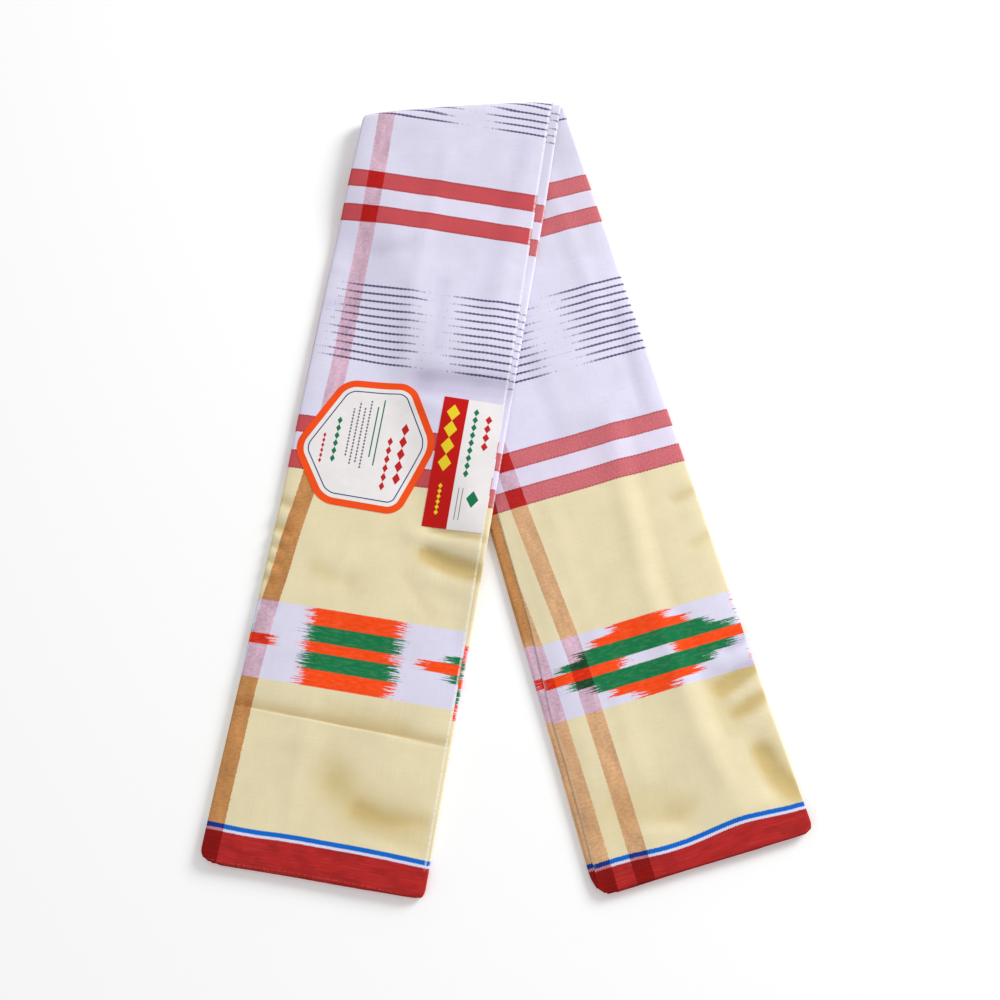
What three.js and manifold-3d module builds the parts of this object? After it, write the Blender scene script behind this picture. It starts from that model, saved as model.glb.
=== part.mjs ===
// A folded cotton lungi, laid flat. The cloth is folded lengthwise into a packet of three
// leaves, and the packet is turned over on itself into an upside-down V.
// Millimetres, +Z up. The packet lies on z = 0, with its box centred on the origin.
import * as THREE from 'three';
import { mergeVertices } from 'three/addons/utils/BufferGeometryUtils.js';
import Module from 'manifold-3d';

const wasm = await Module();
wasm.setup();

// The packet at rest: its nominal width and thickness, and the leaves it is made of.
// Leaf 1 is on the outside of the turnover, leaf 3 on the inside.
const PACKET_W = 154;
const PACKET_T = 6.8;
const LEAF_COUNT = 3;
const SEAM_GAP = 0.3;
const LEAF_T = (PACKET_T - (LEAF_COUNT - 1) * SEAM_GAP) / LEAF_COUNT;

// How the two arms lie: the middle of each hem and the arm's lean from the +Y axis.
const BOX_CENTRE = { x: 4.565, y: 21.858 };
const OVER_ARM = { hemX: -127.7, hemY: -274.2, leanDeg: 9.35, hemS: 3.2, hemCornerR: 6 };
const UNDER_ARM = { hemX: 145.1, hemY: -269.7, leanDeg: -16.35, hemS: 10.2, hemCornerR: 7 };

// The turnover: its axis lies behind the crossing of the arms' centre lines. It has an
// open eye, a straight run into each arm, and a number of steps round the bend.
const AXIS_BACK = 10;
const EYE_R = 0.6;
const RUN_IN = 16;
const BEND_STEPS = 8;

// The over arm settles from the height of the turnover onto the under arm, and comes
// down past the under arm's left edge to the table.
const SETTLE_RUN = 100;
const DROP_RUN = 50;

// Edge lines along each arm, from the hem up. left and right are the packet's outer
// edges, leaf1Inset and leaf3Inset how far the free edges of those leaves lie inside.
const OVER_EDGES = [
  { s: 3, left: -3.0, right: 153.5, leaf1Inset: 2.8, leaf3Inset: 5.0 },
  { s: 60, left: -2.6, right: 153.9, leaf1Inset: 3.2, leaf3Inset: 5.0 },
  { s: 110, left: -1.9, right: 154.2, leaf1Inset: 3.5, leaf3Inset: 6.0 },
  { s: 165, left: -1.5, right: 154.7, leaf1Inset: 4.0, leaf3Inset: 6.0 },
  { s: 225, left: -1.0, right: 155.3, leaf1Inset: 4.8, leaf3Inset: 7.0 },
  { s: 270, left: -0.4, right: 155.1, leaf1Inset: 5.0, leaf3Inset: 7.0 },
  { s: 330, left: -1.0, right: 155.0, leaf1Inset: 4.8, leaf3Inset: 8.0 },
  { s: 440, left: -1.5, right: 155.0, leaf1Inset: 6.6, leaf3Inset: 9.0 },
  { s: 520, left: -0.8, right: 155.0, leaf1Inset: 8.3, leaf3Inset: 9.5 },
  { s: 580, left: 0.3, right: 154.0, leaf1Inset: 8.3, leaf3Inset: 9.5 },
];
const UNDER_EDGES = [
  { s: 10, left: -3.2, right: 153.8, leaf1Inset: 4.0, leaf3Inset: 6.9 },
  { s: 60, left: -2.4, right: 153.5, leaf1Inset: 5.0, leaf3Inset: 6.3 },
  { s: 100, left: -1.7, right: 152.8, leaf1Inset: 5.0, leaf3Inset: 5.8 },
  { s: 125, left: -1.6, right: 153.0, leaf1Inset: 6.0, leaf3Inset: 5.4 },
  { s: 200, left: -0.9, right: 153.1, leaf1Inset: 6.0, leaf3Inset: 9.6 },
  { s: 290, left: 0.3, right: 153.4, leaf1Inset: 7.0, leaf3Inset: 9.6 },
  { s: 580, left: 0.3, right: 154.0, leaf1Inset: 8.3, leaf3Inset: 9.5 },
];

// Broad soft ridges and dents of the pressed packet, along paths in strip coordinates.
const OVER_FORMS = [
  { rise: -1.3, halfWidth: 20, path: [[95, 372], [166, 374]] },
  { rise: -1.2, halfWidth: 19, path: [[70, 68], [126, 56]] },
  { rise: -1.0, halfWidth: 18, path: [[114, 247], [136, 232]] },
  { rise: 0.9, halfWidth: 20, path: [[4, 128], [150, 126]] },
];
const UNDER_FORMS = [
  { rise: 1.7, halfWidth: 22, path: [[110, 330], [102, 288], [95, 196], [100, 97], [105, 56]] },
  { rise: 1.4, halfWidth: 17, path: [[142, 54], [141, 44]] },
  { rise: -1.1, halfWidth: 18, path: [[134, 118], [138, 104]] },
  { rise: -0.9, halfWidth: 20, path: [[30, 60], [62, 52]] },
];

// The packet's edge from the outer face to the inner one. Each row is a level in a leaf
// (up 1 is the leaf's outer face), or the bottom of the groove below it. left, right and
// hem say how far inside the edge line it lies, and leftFree and rightFree are 1 where
// that line is the leaf's own free edge and 0 where the leaf turns.
const EDGE_ROWS = [
  { leaf: 1, up: 1.0, left: 2.2, leftFree: 0, right: 0.8, rightFree: 1, hem: 3.6 },
  { leaf: 1, up: 0.5, left: 0.6, leftFree: 0, right: 0.0, rightFree: 1, hem: 3.0 },
  { leaf: 1, up: 0.0, left: 0.0, leftFree: 0, right: 0.5, rightFree: 1, hem: 3.4 },
  { leaf: 1, up: -1, left: 0.2, leftFree: 0, right: 5.0, rightFree: 1, hem: 8.0 },
  { leaf: 2, up: 1.0, left: 0.0, leftFree: 0, right: 2.2, rightFree: 0, hem: 0.6 },
  { leaf: 2, up: 0.5, left: 0.6, leftFree: 0, right: 0.6, rightFree: 0, hem: 0.0 },
  { leaf: 2, up: 0.0, left: 2.2, leftFree: 0, right: 0.0, rightFree: 0, hem: 0.5 },
  { leaf: 2, up: -1, left: 5.0, leftFree: 1, right: 0.2, rightFree: 0, hem: 6.0 },
  { leaf: 3, up: 1.0, left: 0.5, leftFree: 1, right: 0.0, rightFree: 0, hem: 1.5 },
  { leaf: 3, up: 0.5, left: 0.0, leftFree: 1, right: 0.6, rightFree: 0, hem: 1.0 },
  { leaf: 3, up: 0.0, left: 0.8, leftFree: 1, right: 2.2, rightFree: 0, hem: 1.6 },
];

// The grid over a leaf. Inside the edge and hem strips its lines are shared by all leaves,
// so that facing leaves stay parallel. A narrow step rounds each edge.
const EDGE_STRIP = 18;
const EDGE_STEP = 2.5;
const INNER_COLUMNS = 8;
const HEM_STRIP = 16;
const STATION_STEP = 24;

// Paper labels on the over arm, in strip coordinates.
const LABEL_T = 0.5;
const LABEL_CUT_H = 40;
const HEXAGON_SIDES = 6;
const HEXAGON = { u: 53.5, s: 315, circumR: 51.5, cornerR: 8, cornerSteps: 3, turnDeg: 4 };
const BAND = { uLeft: 104.9, uRight: 148.8, sLow: 261, sHigh: 361.5 };

// The photograph's colours.
const COLOURS = {
  lavenderWhite: 0xdedaee,
  paleYellow: 0xe2d9b4,
  borderRed: 0xa52323,
  labelOrange: 0xff5f28,
  labelRed: 0xcd190f,
};

const { degToRad, lerp, clamp, smoothstep } = THREE.MathUtils;

// One arm's flat frame: u runs across it from its left edge, s along it from its hem.
function makeArm(layout, edges, forms) {
  const lean = degToRad(layout.leanDeg);
  const along = new THREE.Vector2(Math.sin(lean), Math.cos(lean));
  const across = new THREE.Vector2(Math.cos(lean), -Math.sin(lean));
  const hem = new THREE.Vector2(layout.hemX - BOX_CENTRE.x, layout.hemY - BOX_CENTRE.y);
  const point = (u, s) => hem.clone()
    .addScaledVector(across, u - PACKET_W / 2)
    .addScaledVector(along, s);
  return { ...layout, along, across, hem, edges, forms, point };
}

const over = makeArm(OVER_ARM, OVER_EDGES, OVER_FORMS);
const under = makeArm(UNDER_ARM, UNDER_EDGES, UNDER_FORMS);

// The turnover's axis is square to the bisector of the two arms.
const foldNormal = over.along.clone().add(under.along).normalize();
const foldAlong = new THREE.Vector2(foldNormal.y, -foldNormal.x);
const axisPoint = crossingOf(over, under).addScaledVector(foldNormal, -AXIS_BACK);
const bendCentreZ = PACKET_T + EYE_R;

function crossingOf(a, b) {
  const between = b.hem.clone().sub(a.hem);
  const run = between.cross(b.along) / a.along.cross(b.along);
  return a.hem.clone().addScaledVector(a.along, run);
}

// Where the line u of an arm meets the axis, along the arm and along the axis.
function axisS(arm, u) {
  return axisPoint.clone().sub(arm.point(u, 0)).dot(foldNormal) / arm.along.dot(foldNormal);
}

function axisV(arm, u) {
  return arm.point(u, axisS(arm, u)).sub(axisPoint).dot(foldAlong);
}

// A row of an edge table at the distance s from the hem.
function edgesAt(arm, s) {
  const rows = arm.edges;
  const next = clamp(rows.findIndex((row) => row.s > s), 1, rows.length - 1);
  const last = s >= rows[rows.length - 1].s ? rows.length - 1 : next;
  const low = rows[last - 1];
  const high = rows[last];
  const part = clamp((s - low.s) / (high.s - low.s), 0, 1);
  const mix = (column) => lerp(low[column], high[column], part);
  return {
    left: mix('left'),
    right: mix('right'),
    leaf1Inset: mix('leaf1Inset'),
    leaf3Inset: mix('leaf3Inset'),
  };
}

function distanceToPath(u, s, path) {
  const here = new THREE.Vector2(u, s);
  let nearest = Infinity;
  for (let i = 1; i < path.length; i += 1) {
    const start = new THREE.Vector2(...path[i - 1]);
    const run = new THREE.Vector2(...path[i]).sub(start);
    const part = clamp(here.clone().sub(start).dot(run) / run.lengthSq(), 0, 1);
    nearest = Math.min(nearest, here.distanceTo(start.addScaledVector(run, part)));
  }
  return nearest;
}

// The rise of the packet's upper face at a point of an arm.
function riseAt(arm, u, s) {
  return arm.forms.reduce((sum, form) => {
    const distance = distanceToPath(u, s, form.path) / form.halfWidth;
    return sum + form.rise * Math.exp(-distance * distance);
  }, 0);
}

// The height of the over arm's underside above the table.
function liftAt(plan) {
  const fromAxis = axisPoint.clone().sub(plan).dot(foldNormal);
  const inUnder = plan.clone().sub(under.hem);
  const pastEdge = -(inUnder.dot(under.across) + PACKET_W / 2);
  const onUnder = 1 - smoothstep(pastEdge, 0, DROP_RUN);
  const settled = smoothstep(fromAxis, RUN_IN, RUN_IN + SETTLE_RUN);
  return lerp(PACKET_T + 2 * EYE_R, (PACKET_T + SEAM_GAP) * onUnder, settled);
}

// Height of an edge row above the packet's inner face.
function levelOf(row) {
  const bottom = (LEAF_COUNT - row.leaf) * (LEAF_T + SEAM_GAP);
  return row.up < 0 ? bottom - SEAM_GAP / 2 : bottom + row.up * LEAF_T;
}

function leftInset(row, edges) {
  return row.left + row.leftFree * edges.leaf3Inset;
}

function rightInset(row, edges) {
  return row.right + row.rightFree * edges.leaf1Inset;
}

// The line of a column across a leaf: two lines at each of its own edges, and the shared
// lines between them.
const OWN_LINES = 2;
const COLUMN_LAST = INNER_COLUMNS + 2 * OWN_LINES;

function columnU(row, edges, column) {
  const uLeft = edges.left + leftInset(row, edges);
  const uRight = edges.right - rightInset(row, edges);
  const part = (column - OWN_LINES) / INNER_COLUMNS;
  if (part < 0) return uLeft + column * EDGE_STEP;
  if (part > 1) return uRight - (COLUMN_LAST - column) * EDGE_STEP;
  return lerp(edges.left + EDGE_STRIP, edges.right - EDGE_STRIP, part);
}

// How far the hem line draws back near a rounded corner.
function cornerDraw(distance, radius) {
  const inside = Math.max(0, radius - Math.max(0, distance));
  return radius - Math.sqrt(radius * radius - inside * inside);
}

// The stations along an arm: the hem, and then shared lines up to the turnover.
function stationCount(arm) {
  return 1 + Math.round((axisS(arm, PACKET_W / 2) - RUN_IN - arm.hemS - HEM_STRIP) / STATION_STEP);
}

function stationS(arm, u, station) {
  const sEnd = axisS(arm, u) - RUN_IN - SEAM_GAP;
  return lerp(arm.hemS + HEM_STRIP, sEnd, (station - 1) / (stationCount(arm) - 1));
}

// The lift of an arm off the table at a point, and how much thicker it is there.
function formAt(arm, u, s) {
  return {
    lift: arm === over ? liftAt(arm.point(u, s)) : 0,
    swell: 1 + riseAt(arm, u, s) / PACKET_T,
  };
}

// Between the shared lines and in the edge strips the forms run straight.
function mixForms(a, b, part) {
  return { lift: lerp(a.lift, b.lift, part), swell: lerp(a.swell, b.swell, part) };
}

function lineForm(arm, u, station, s) {
  if (station > 0) return formAt(arm, u, stationS(arm, u, station));
  const part = (s - arm.hemS) / HEM_STRIP;
  return mixForms(formAt(arm, u, arm.hemS), formAt(arm, u, arm.hemS + HEM_STRIP), part);
}

function gridForm(arm, edges, u, station, s) {
  const inner = clamp(u, edges.left + EDGE_STRIP, edges.right - EDGE_STRIP);
  if (inner === u) return lineForm(arm, u, station, s);
  const outer = u < inner ? edges.left : edges.right;
  const part = Math.abs(u - inner) / EDGE_STRIP;
  return mixForms(lineForm(arm, inner, station, s), lineForm(arm, outer, station, s), part);
}

// A point of an arm's leaf stack on an edge row.
function armPoint(arm, row, column, station) {
  const length = axisS(arm, PACKET_W / 2) - arm.hemS;
  const edges = edgesAt(arm, arm.hemS + (length * station) / stationCount(arm));
  const u = columnU(row, edges, column);
  const draw = cornerDraw(u - edges.left, arm.hemCornerR) + cornerDraw(edges.right - u, arm.hemCornerR);
  const s = station > 0 ? stationS(arm, u, station) : arm.hemS + row.hem + draw;
  const plan = arm.point(u, s);
  const { lift, swell } = gridForm(arm, edges, u, station, s);
  const level = arm === over ? levelOf(row) : PACKET_T - levelOf(row);
  return new THREE.Vector3(plan.x, plan.y, lift + level * swell);
}

// Stations round the bend: the run in from the over arm, the bend, and the run out.
const bendStations = [
  { run: RUN_IN, turn: 0, arm: over },
  { run: RUN_IN / 2, turn: 0, arm: over },
  ...Array.from({ length: BEND_STEPS + 1 }, (_, i) => ({ run: 0, turn: i / BEND_STEPS, arm: over })),
  { run: RUN_IN / 2, turn: 1, arm: under },
  { run: RUN_IN, turn: 1, arm: under },
];

function bendPoint(row, column, station) {
  const { run, turn, arm } = bendStations[station];
  const u = columnU(row, arm.edges[arm.edges.length - 1], column);
  const radius = EYE_R + levelOf(row);
  const angle = turn * Math.PI;
  const plan = run > 0
    ? arm.point(u, axisS(arm, u) - run)
    : axisPoint.clone()
      .addScaledVector(foldAlong, lerp(axisV(over, u), axisV(under, u), turn))
      .addScaledVector(foldNormal, radius * Math.sin(angle));
  return new THREE.Vector3(plan.x, plan.y, bendCentreZ + radius * Math.cos(angle));
}

// A closed solid from a stack of edge rows: a face on the first row, a wall through the
// rows between, and a face on the last row.
function stackGeometry(rows, columnCount, stationsLong, point) {
  const vertices = [];
  const triangles = [];
  const add = (vertex) => vertices.push(vertex) - 1;
  const quad = (a, b, c, d) => triangles.push([a, b, c], [a, c, d]);
  const loopCells = [
    ...Array.from({ length: columnCount }, (_, i) => [i, 0]),
    ...Array.from({ length: stationsLong }, (_, k) => [columnCount, k]),
    ...Array.from({ length: columnCount }, (_, i) => [columnCount - i, stationsLong]),
    ...Array.from({ length: stationsLong }, (_, k) => [0, stationsLong - k]),
  ];
  const faceOf = (row, facesOut) => {
    const grid = [];
    for (let k = 0; k <= stationsLong; k += 1) {
      grid.push(Array.from({ length: columnCount + 1 }, (_, i) => add(point(row, i, k))));
    }
    for (let k = 0; k < stationsLong; k += 1) {
      for (let i = 0; i < columnCount; i += 1) {
        const [a, b, c, d] = [grid[k][i], grid[k][i + 1], grid[k + 1][i + 1], grid[k + 1][i]];
        if (facesOut) triangles.push([a, b, c], [a, c, d]);
        else triangles.push([a, c, b], [a, d, c]);
      }
    }
    return loopCells.map(([i, k]) => grid[k][i]);
  };
  const first = faceOf(rows[0], true);
  const middle = rows.slice(1, -1).map((row) => loopCells.map(([i, k]) => add(point(row, i, k))));
  const last = faceOf(rows[rows.length - 1], false);
  const loops = [first, ...middle, last];
  for (let level = 1; level < loops.length; level += 1) {
    const upper = loops[level - 1];
    const lower = loops[level];
    upper.forEach((_, j) => {
      const next = (j + 1) % upper.length;
      quad(lower[j], lower[next], upper[next], upper[j]);
    });
  }
  return closedGeometry(vertices, triangles);
}

// A geometry from vertices and triangles, turned the right way out.
function closedGeometry(vertices, triangles) {
  const volume = triangles.reduce((sum, [a, b, c]) => (
    sum + vertices[a].dot(vertices[b].clone().cross(vertices[c]))), 0);
  const faces = volume < 0 ? triangles.map(([a, b, c]) => [a, c, b]) : triangles;
  const geometry = new THREE.BufferGeometry();
  geometry.setAttribute('position', new THREE.Float32BufferAttribute(
    vertices.flatMap((vertex) => vertex.toArray()), 3));
  geometry.setIndex(faces.flat());
  geometry.computeVertexNormals();
  return geometry;
}

// The edge rows of a run of leaves, without the groove below the last one.
function rowsOf(leaves) {
  const rows = EDGE_ROWS.filter((row) => leaves.includes(row.leaf));
  return rows[rows.length - 1].up < 0 ? rows.slice(0, -1) : rows;
}

function armGeometry(arm, leaves) {
  return stackGeometry(rowsOf(leaves), COLUMN_LAST, stationCount(arm),
    (row, column, station) => armPoint(arm, row, column, station));
}

// The over arm's upper face near a label, moved up by a clearance and made a slab.
function labelSlab(sLow, sHigh) {
  const stations = Array.from({ length: stationCount(over) }, (_, i) => i + 1);
  const first = stations.findLast((station) => stationS(over, PACKET_W, station) < sLow) - 1;
  const last = stations.find((station) => stationS(over, 0, station) > sHigh) + 1;
  const levels = [{ clear: SEAM_GAP + LABEL_T }, { clear: SEAM_GAP }];
  return stackGeometry(levels, COLUMN_LAST, last - first, (level, column, station) => {
    const vertex = armPoint(over, EDGE_ROWS[0], column, first + station);
    return vertex.setZ(vertex.z + level.clear);
  });
}

function toManifold(geometry) {
  return new wasm.Manifold(new wasm.Mesh({
    numProp: 3,
    vertProperties: new Float32Array(geometry.attributes.position.array),
    triVerts: new Uint32Array(geometry.index.array),
  }));
}

// A paper label: its outline, cut from the slab over the leaf it is stuck on.
function labelGeometry(outline, sLow, sHigh) {
  const plan = outline.map(([u, s]) => over.point(u, s));
  const prism = new THREE.ExtrudeGeometry(new THREE.Shape(plan), {
    depth: LABEL_CUT_H,
    bevelEnabled: false,
  });
  prism.deleteAttribute('normal');
  prism.deleteAttribute('uv');
  const cutter = toManifold(mergeVertices(prism));
  const cut = toManifold(labelSlab(sLow, sHigh)).intersect(cutter).getMesh();
  const vertices = [];
  for (let i = 0; i < cut.vertProperties.length; i += cut.numProp) {
    vertices.push(new THREE.Vector3(...cut.vertProperties.slice(i, i + 3)));
  }
  const triangles = [];
  for (let i = 0; i < cut.triVerts.length; i += 3) {
    triangles.push(Array.from(cut.triVerts.slice(i, i + 3)));
  }
  return closedGeometry(vertices, triangles);
}

// A hexagon with rounded corners, one pointing across the arm.
function hexagonOutline({ u, s, circumR, cornerR, cornerSteps, turnDeg }) {
  const sides = HEXAGON_SIDES;
  const arcCentreR = circumR - cornerR / Math.cos(Math.PI / sides);
  const outline = [];
  for (let corner = 0; corner < sides; corner += 1) {
    const corner0 = degToRad(turnDeg) + (corner * 2 * Math.PI) / sides;
    for (let step = 0; step <= cornerSteps; step += 1) {
      const angle = corner0 + (step / cornerSteps - 0.5) * ((2 * Math.PI) / sides);
      outline.push([
        u + arcCentreR * Math.cos(corner0) + cornerR * Math.cos(angle),
        s + arcCentreR * Math.sin(corner0) + cornerR * Math.sin(angle),
      ]);
    }
  }
  return outline;
}

function bandOutline({ uLeft, uRight, sLow, sHigh }) {
  return [[uLeft, sLow], [uRight, sLow], [uRight, sHigh], [uLeft, sHigh]];
}

function makeMesh(name, geometry, color, roughness) {
  const mesh = new THREE.Mesh(geometry, new THREE.MeshStandardMaterial({ color, roughness, metalness: 0 }));
  mesh.name = name;
  return mesh;
}

const CLOTH_ROUGHNESS = 0.85;
const PAPER_ROUGHNESS = 0.45;
const cloth = (name, geometry, color) => makeMesh(name, geometry, color, CLOTH_ROUGHNESS);
const paper = (name, geometry, color) => makeMesh(name, geometry, color, PAPER_ROUGHNESS);

const lungi = new THREE.Group();
lungi.name = 'lungi';
lungi.add(
  cloth('over_arm_top_leaf', armGeometry(over, [1]), COLOURS.paleYellow),
  cloth('over_arm_under_leaves', armGeometry(over, [2, 3]), COLOURS.borderRed),
  cloth('turnover', stackGeometry(EDGE_ROWS, COLUMN_LAST, bendStations.length - 1, bendPoint),
    COLOURS.lavenderWhite),
  cloth('under_arm_top_leaf', armGeometry(under, [3]), COLOURS.paleYellow),
  cloth('under_arm_under_leaves', armGeometry(under, [1, 2]), COLOURS.borderRed),
  paper('hexagon_label', labelGeometry(hexagonOutline(HEXAGON), HEXAGON.s - HEXAGON.circumR,
    HEXAGON.s + HEXAGON.circumR), COLOURS.labelOrange),
  paper('band_label', labelGeometry(bandOutline(BAND), BAND.sLow, BAND.sHigh), COLOURS.labelRed),
);

export default lungi;
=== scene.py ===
import math

import bpy
import numpy as np
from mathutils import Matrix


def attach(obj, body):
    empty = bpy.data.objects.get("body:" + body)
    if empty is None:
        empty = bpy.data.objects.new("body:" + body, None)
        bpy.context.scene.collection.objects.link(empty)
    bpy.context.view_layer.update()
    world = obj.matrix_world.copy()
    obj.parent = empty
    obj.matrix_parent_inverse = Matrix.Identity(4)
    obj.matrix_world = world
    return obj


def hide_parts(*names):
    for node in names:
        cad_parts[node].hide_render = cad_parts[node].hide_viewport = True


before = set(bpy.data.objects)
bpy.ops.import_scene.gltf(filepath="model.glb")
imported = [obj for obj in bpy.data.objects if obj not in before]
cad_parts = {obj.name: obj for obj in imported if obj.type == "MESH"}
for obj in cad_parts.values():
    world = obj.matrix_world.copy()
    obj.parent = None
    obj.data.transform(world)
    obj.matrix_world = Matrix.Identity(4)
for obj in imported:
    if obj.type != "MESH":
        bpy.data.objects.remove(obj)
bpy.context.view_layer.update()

bpy.ops.object.select_all(action="DESELECT")

# The cloth. A lungi is one tube of thin plain-woven cotton. It is pressed flat and folded
# lengthwise into three leaves of four layers, and this packet is then turned over on
# itself and lies as an upside-down V. Sizes are in millimetres up to the finished mesh.
MM = 0.001
PACKET_W = 154.0
PACKET_T = 6.8
LEAF_GAP = 0.3
LEAF_T = (PACKET_T - 2 * LEAF_GAP) / 3
BOX_CENTRE = np.array([4.565, 21.858])
BEND_BACK = 10.0
BEND_EYE_R = 0.6
RUN_IN = 16.0
SETTLE_RUN = 100.0
DROP_RUN = 50.0

# Edge lines up each arm: distance from the hem, the packet's left and right edges, and
# how far inside them the free edges of leaf 1 (right) and leaf 3 (left) lie.
OVER_EDGES = np.array([
    (3, -3.0, 153.5, 2.8, 5.0),
    (60, -2.6, 153.9, 3.2, 5.0),
    (110, -1.9, 154.2, 3.5, 6.0),
    (165, -1.5, 154.7, 4.0, 6.0),
    (225, -1.0, 155.3, 4.8, 7.0),
    (270, -0.4, 155.1, 5.0, 7.0),
    (330, -1.0, 155.0, 4.8, 8.0),
    (440, -1.5, 155.0, 6.6, 9.0),
    (520, -0.8, 155.0, 8.3, 9.5),
    (580, 0.3, 154.0, 8.3, 9.5),
])
UNDER_EDGES = np.array([
    (10, -3.2, 153.8, 4.0, 4.4),
    (60, -2.4, 153.5, 5.0, 5.6),
    (100, -1.7, 152.8, 5.0, 5.8),
    (125, -1.6, 153.0, 6.0, 5.4),
    (200, -0.9, 153.1, 6.0, 9.6),
    (290, 0.3, 153.4, 7.0, 9.6),
    (580, 0.3, 154.0, 8.3, 9.5),
])

# Broad forms of the pressed packet: rise, half width, and a path of points (u, s).
OVER_FORMS = [
    (-1.3, 20, [(95, 372), (166, 374)]),
    (-0.8, 18, [(80, 70), (96, 57), (124, 50)]),
    (-0.7, 13, [(112, 38), (152, 33)]),
    (-0.8, 16, [(124, 243), (140, 233)]),
    (0.9, 20, [(4, 128), (150, 126)]),
]
UNDER_FORMS = [
    (1.7, 22, [(110, 330), (102, 288), (95, 196), (100, 97), (105, 56)]),
    (-1.1, 14, [(139, 66), (146, 42)]),
    (-1.1, 18, [(134, 118), (138, 104)]),
    (-0.9, 20, [(30, 60), (62, 52)]),
]

# Small creases in the upper leaf, in the same columns.
OVER_CREASES = [
    (-2.2, 7, [(86, 371), (153, 374)]),
    (1.0, 6, [(70, 356), (100, 352)]),
    (1.3, 6, [(100, 252), (152, 248)]),
    (-1.3, 3, [(112, 258.5), (153, 256.5)]),
    (-2.6, 6.5, [(113, 241), (128, 236), (153, 232)]),
    (0.8, 7, [(118, 222), (151, 215)]),
    (-0.4, 4, [(100, 222), (124, 196)]),
    (-1.3, 3.6, [(-2, 264), (9, 261)]),
    (1.2, 3.8, [(-2, 253), (10, 251)]),
    (-1.6, 3.8, [(-2, 244), (9, 241)]),
    (1.0, 3.2, [(-2, 236), (8, 234)]),
    (-1.3, 3.2, [(-2, 230), (7, 228)]),
    (1.0, 3.0, [(-2, 224), (6, 223)]),
    (-1.4, 3.2, [(-2, 219), (6, 216)]),
    (1.0, 3.0, [(-2, 212), (5, 210)]),
    (-1.5, 3.6, [(-2, 206), (6, 203)]),
    (-0.9, 3.5, [(-2, 188), (11, 184)]),
    (-0.7, 8, [(36, 216), (60, 211)]),
    (0.5, 4, [(53, 16), (51, 104)]),
    (0.4, 5, [(52, 116), (55, 240)]),
    (-0.45, 13, [(70, 96), (76, 74)]),
    (-0.5, 13, [(82, 66), (98, 56)]),
    (-1.0, 7, [(98, 54), (118, 51), (144, 53)]),
    (0.6, 6, [(104, 34), (146, 26)]),
    (0.8, 8, [(28, 92), (58, 96)]),
    (-0.8, 9, [(64, 122), (118, 117)]),
    (0.9, 6, [(70, 384), (66, 450), (72, 560)]),
    (-0.6, 8, [(120, 440), (128, 575)]),
    (-0.7, 6, [(30, 470), (58, 478)]),
    (-0.7, 5, [(92, 398), (88, 450)]),
    (0.6, 5, [(128, 384), (136, 470)]),
    (-0.6, 4, [(-2, 420), (16, 424)]),
    (0.5, 4, [(-2, 455), (12, 452)]),
]
UNDER_CREASES = [
    (1.1, 7, [(110, 330), (102, 288), (95, 196), (100, 97), (105, 60)]),
    (-0.9, 8, [(124, 330), (116, 280), (111, 196), (117, 90)]),
    (-1.6, 4, [(137, 147), (154, 151)]),
    (1.4, 4, [(130, 135), (154, 142)]),
    (-2.2, 6, [(124, 121), (153, 130)]),
    (1.2, 4, [(132, 112), (153, 120)]),
    (-1.3, 5, [(128, 101), (152, 108)]),
    (0.9, 4, [(136, 92), (153, 97)]),
    (1.2, 7, [(110, 36), (126, 38)]),
    (-1.9, 8, [(137, 70), (142, 51), (152, 38)]),
    (-0.6, 8, [(64, 46), (100, 60)]),
    (0.9, 6, [(40, 40), (62, 36)]),
    (-0.6, 4, [(12, 20), (40, 25)]),
    (0.5, 6, [(52, 80), (46, 300)]),
    (-0.5, 7, [(70, 330), (62, 470)]),
    (0.9, 6, [(128, 420), (122, 560)]),
    (-0.8, 5, [(136, 330), (140, 420)]),
    (-0.9, 4, [(136, 262), (154, 266)]),
    (0.8, 4, [(140, 250), (154, 254)]),
    (-0.7, 4, [(138, 226), (154, 231)]),
]

# The line pressed across the over arm, where the cloth steps: its path, the dip above it
# and that dip's run up the arm, the rise below it and that rise's run down the arm.
OVER_STEPS = [
    ([(-3, 111), (75, 108.5), (156, 107)], 0.9, 10.0, 0.2, 9.0),
]


class Arm:
    """One arm of the V. u runs across it from its left edge, s along it from its hem."""

    def __init__(self, hem, lean, hem_s, corners, edges, forms, creases, steps=()):
        lean = math.radians(lean)
        self.hem = np.array(hem) - BOX_CENTRE
        self.along = np.array([math.sin(lean), math.cos(lean)])
        self.across = np.array([math.cos(lean), -math.sin(lean)])
        self.hem_s = hem_s
        self.corners = corners
        self.edges = edges
        self.forms = forms
        self.creases = creases
        self.steps = steps

    def plan(self, u, s):
        """The place on the table of points of the arm."""
        u, s = np.broadcast_arrays(u, s)
        return self.hem + self.across * (u - PACKET_W / 2)[..., None] + self.along * s[..., None]


# The rounding of the left and right hem corners: reach across the arm, reach up it.
OVER_CORNERS = [(10.0, 9.0), (5.0, 5.0)]
UNDER_CORNERS = [(10.0, 17.0), (7.0, 7.0)]

over = Arm((-127.7, -274.2), 9.35, 3.2, OVER_CORNERS, OVER_EDGES, OVER_FORMS, OVER_CREASES,
           OVER_STEPS)
under = Arm((145.1, -269.7), -16.35, 10.2, UNDER_CORNERS, UNDER_EDGES, UNDER_FORMS,
            UNDER_CREASES)

bend_normal = (over.along + under.along) / np.linalg.norm(over.along + under.along)
bend_along = np.array([bend_normal[1], -bend_normal[0]])


def cross(a, b):
    return a[0] * b[1] - a[1] * b[0]


run = cross(under.hem - over.hem, under.along) / cross(over.along, under.along)
bend_point = over.hem + over.along * run - bend_normal * BEND_BACK


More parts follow.
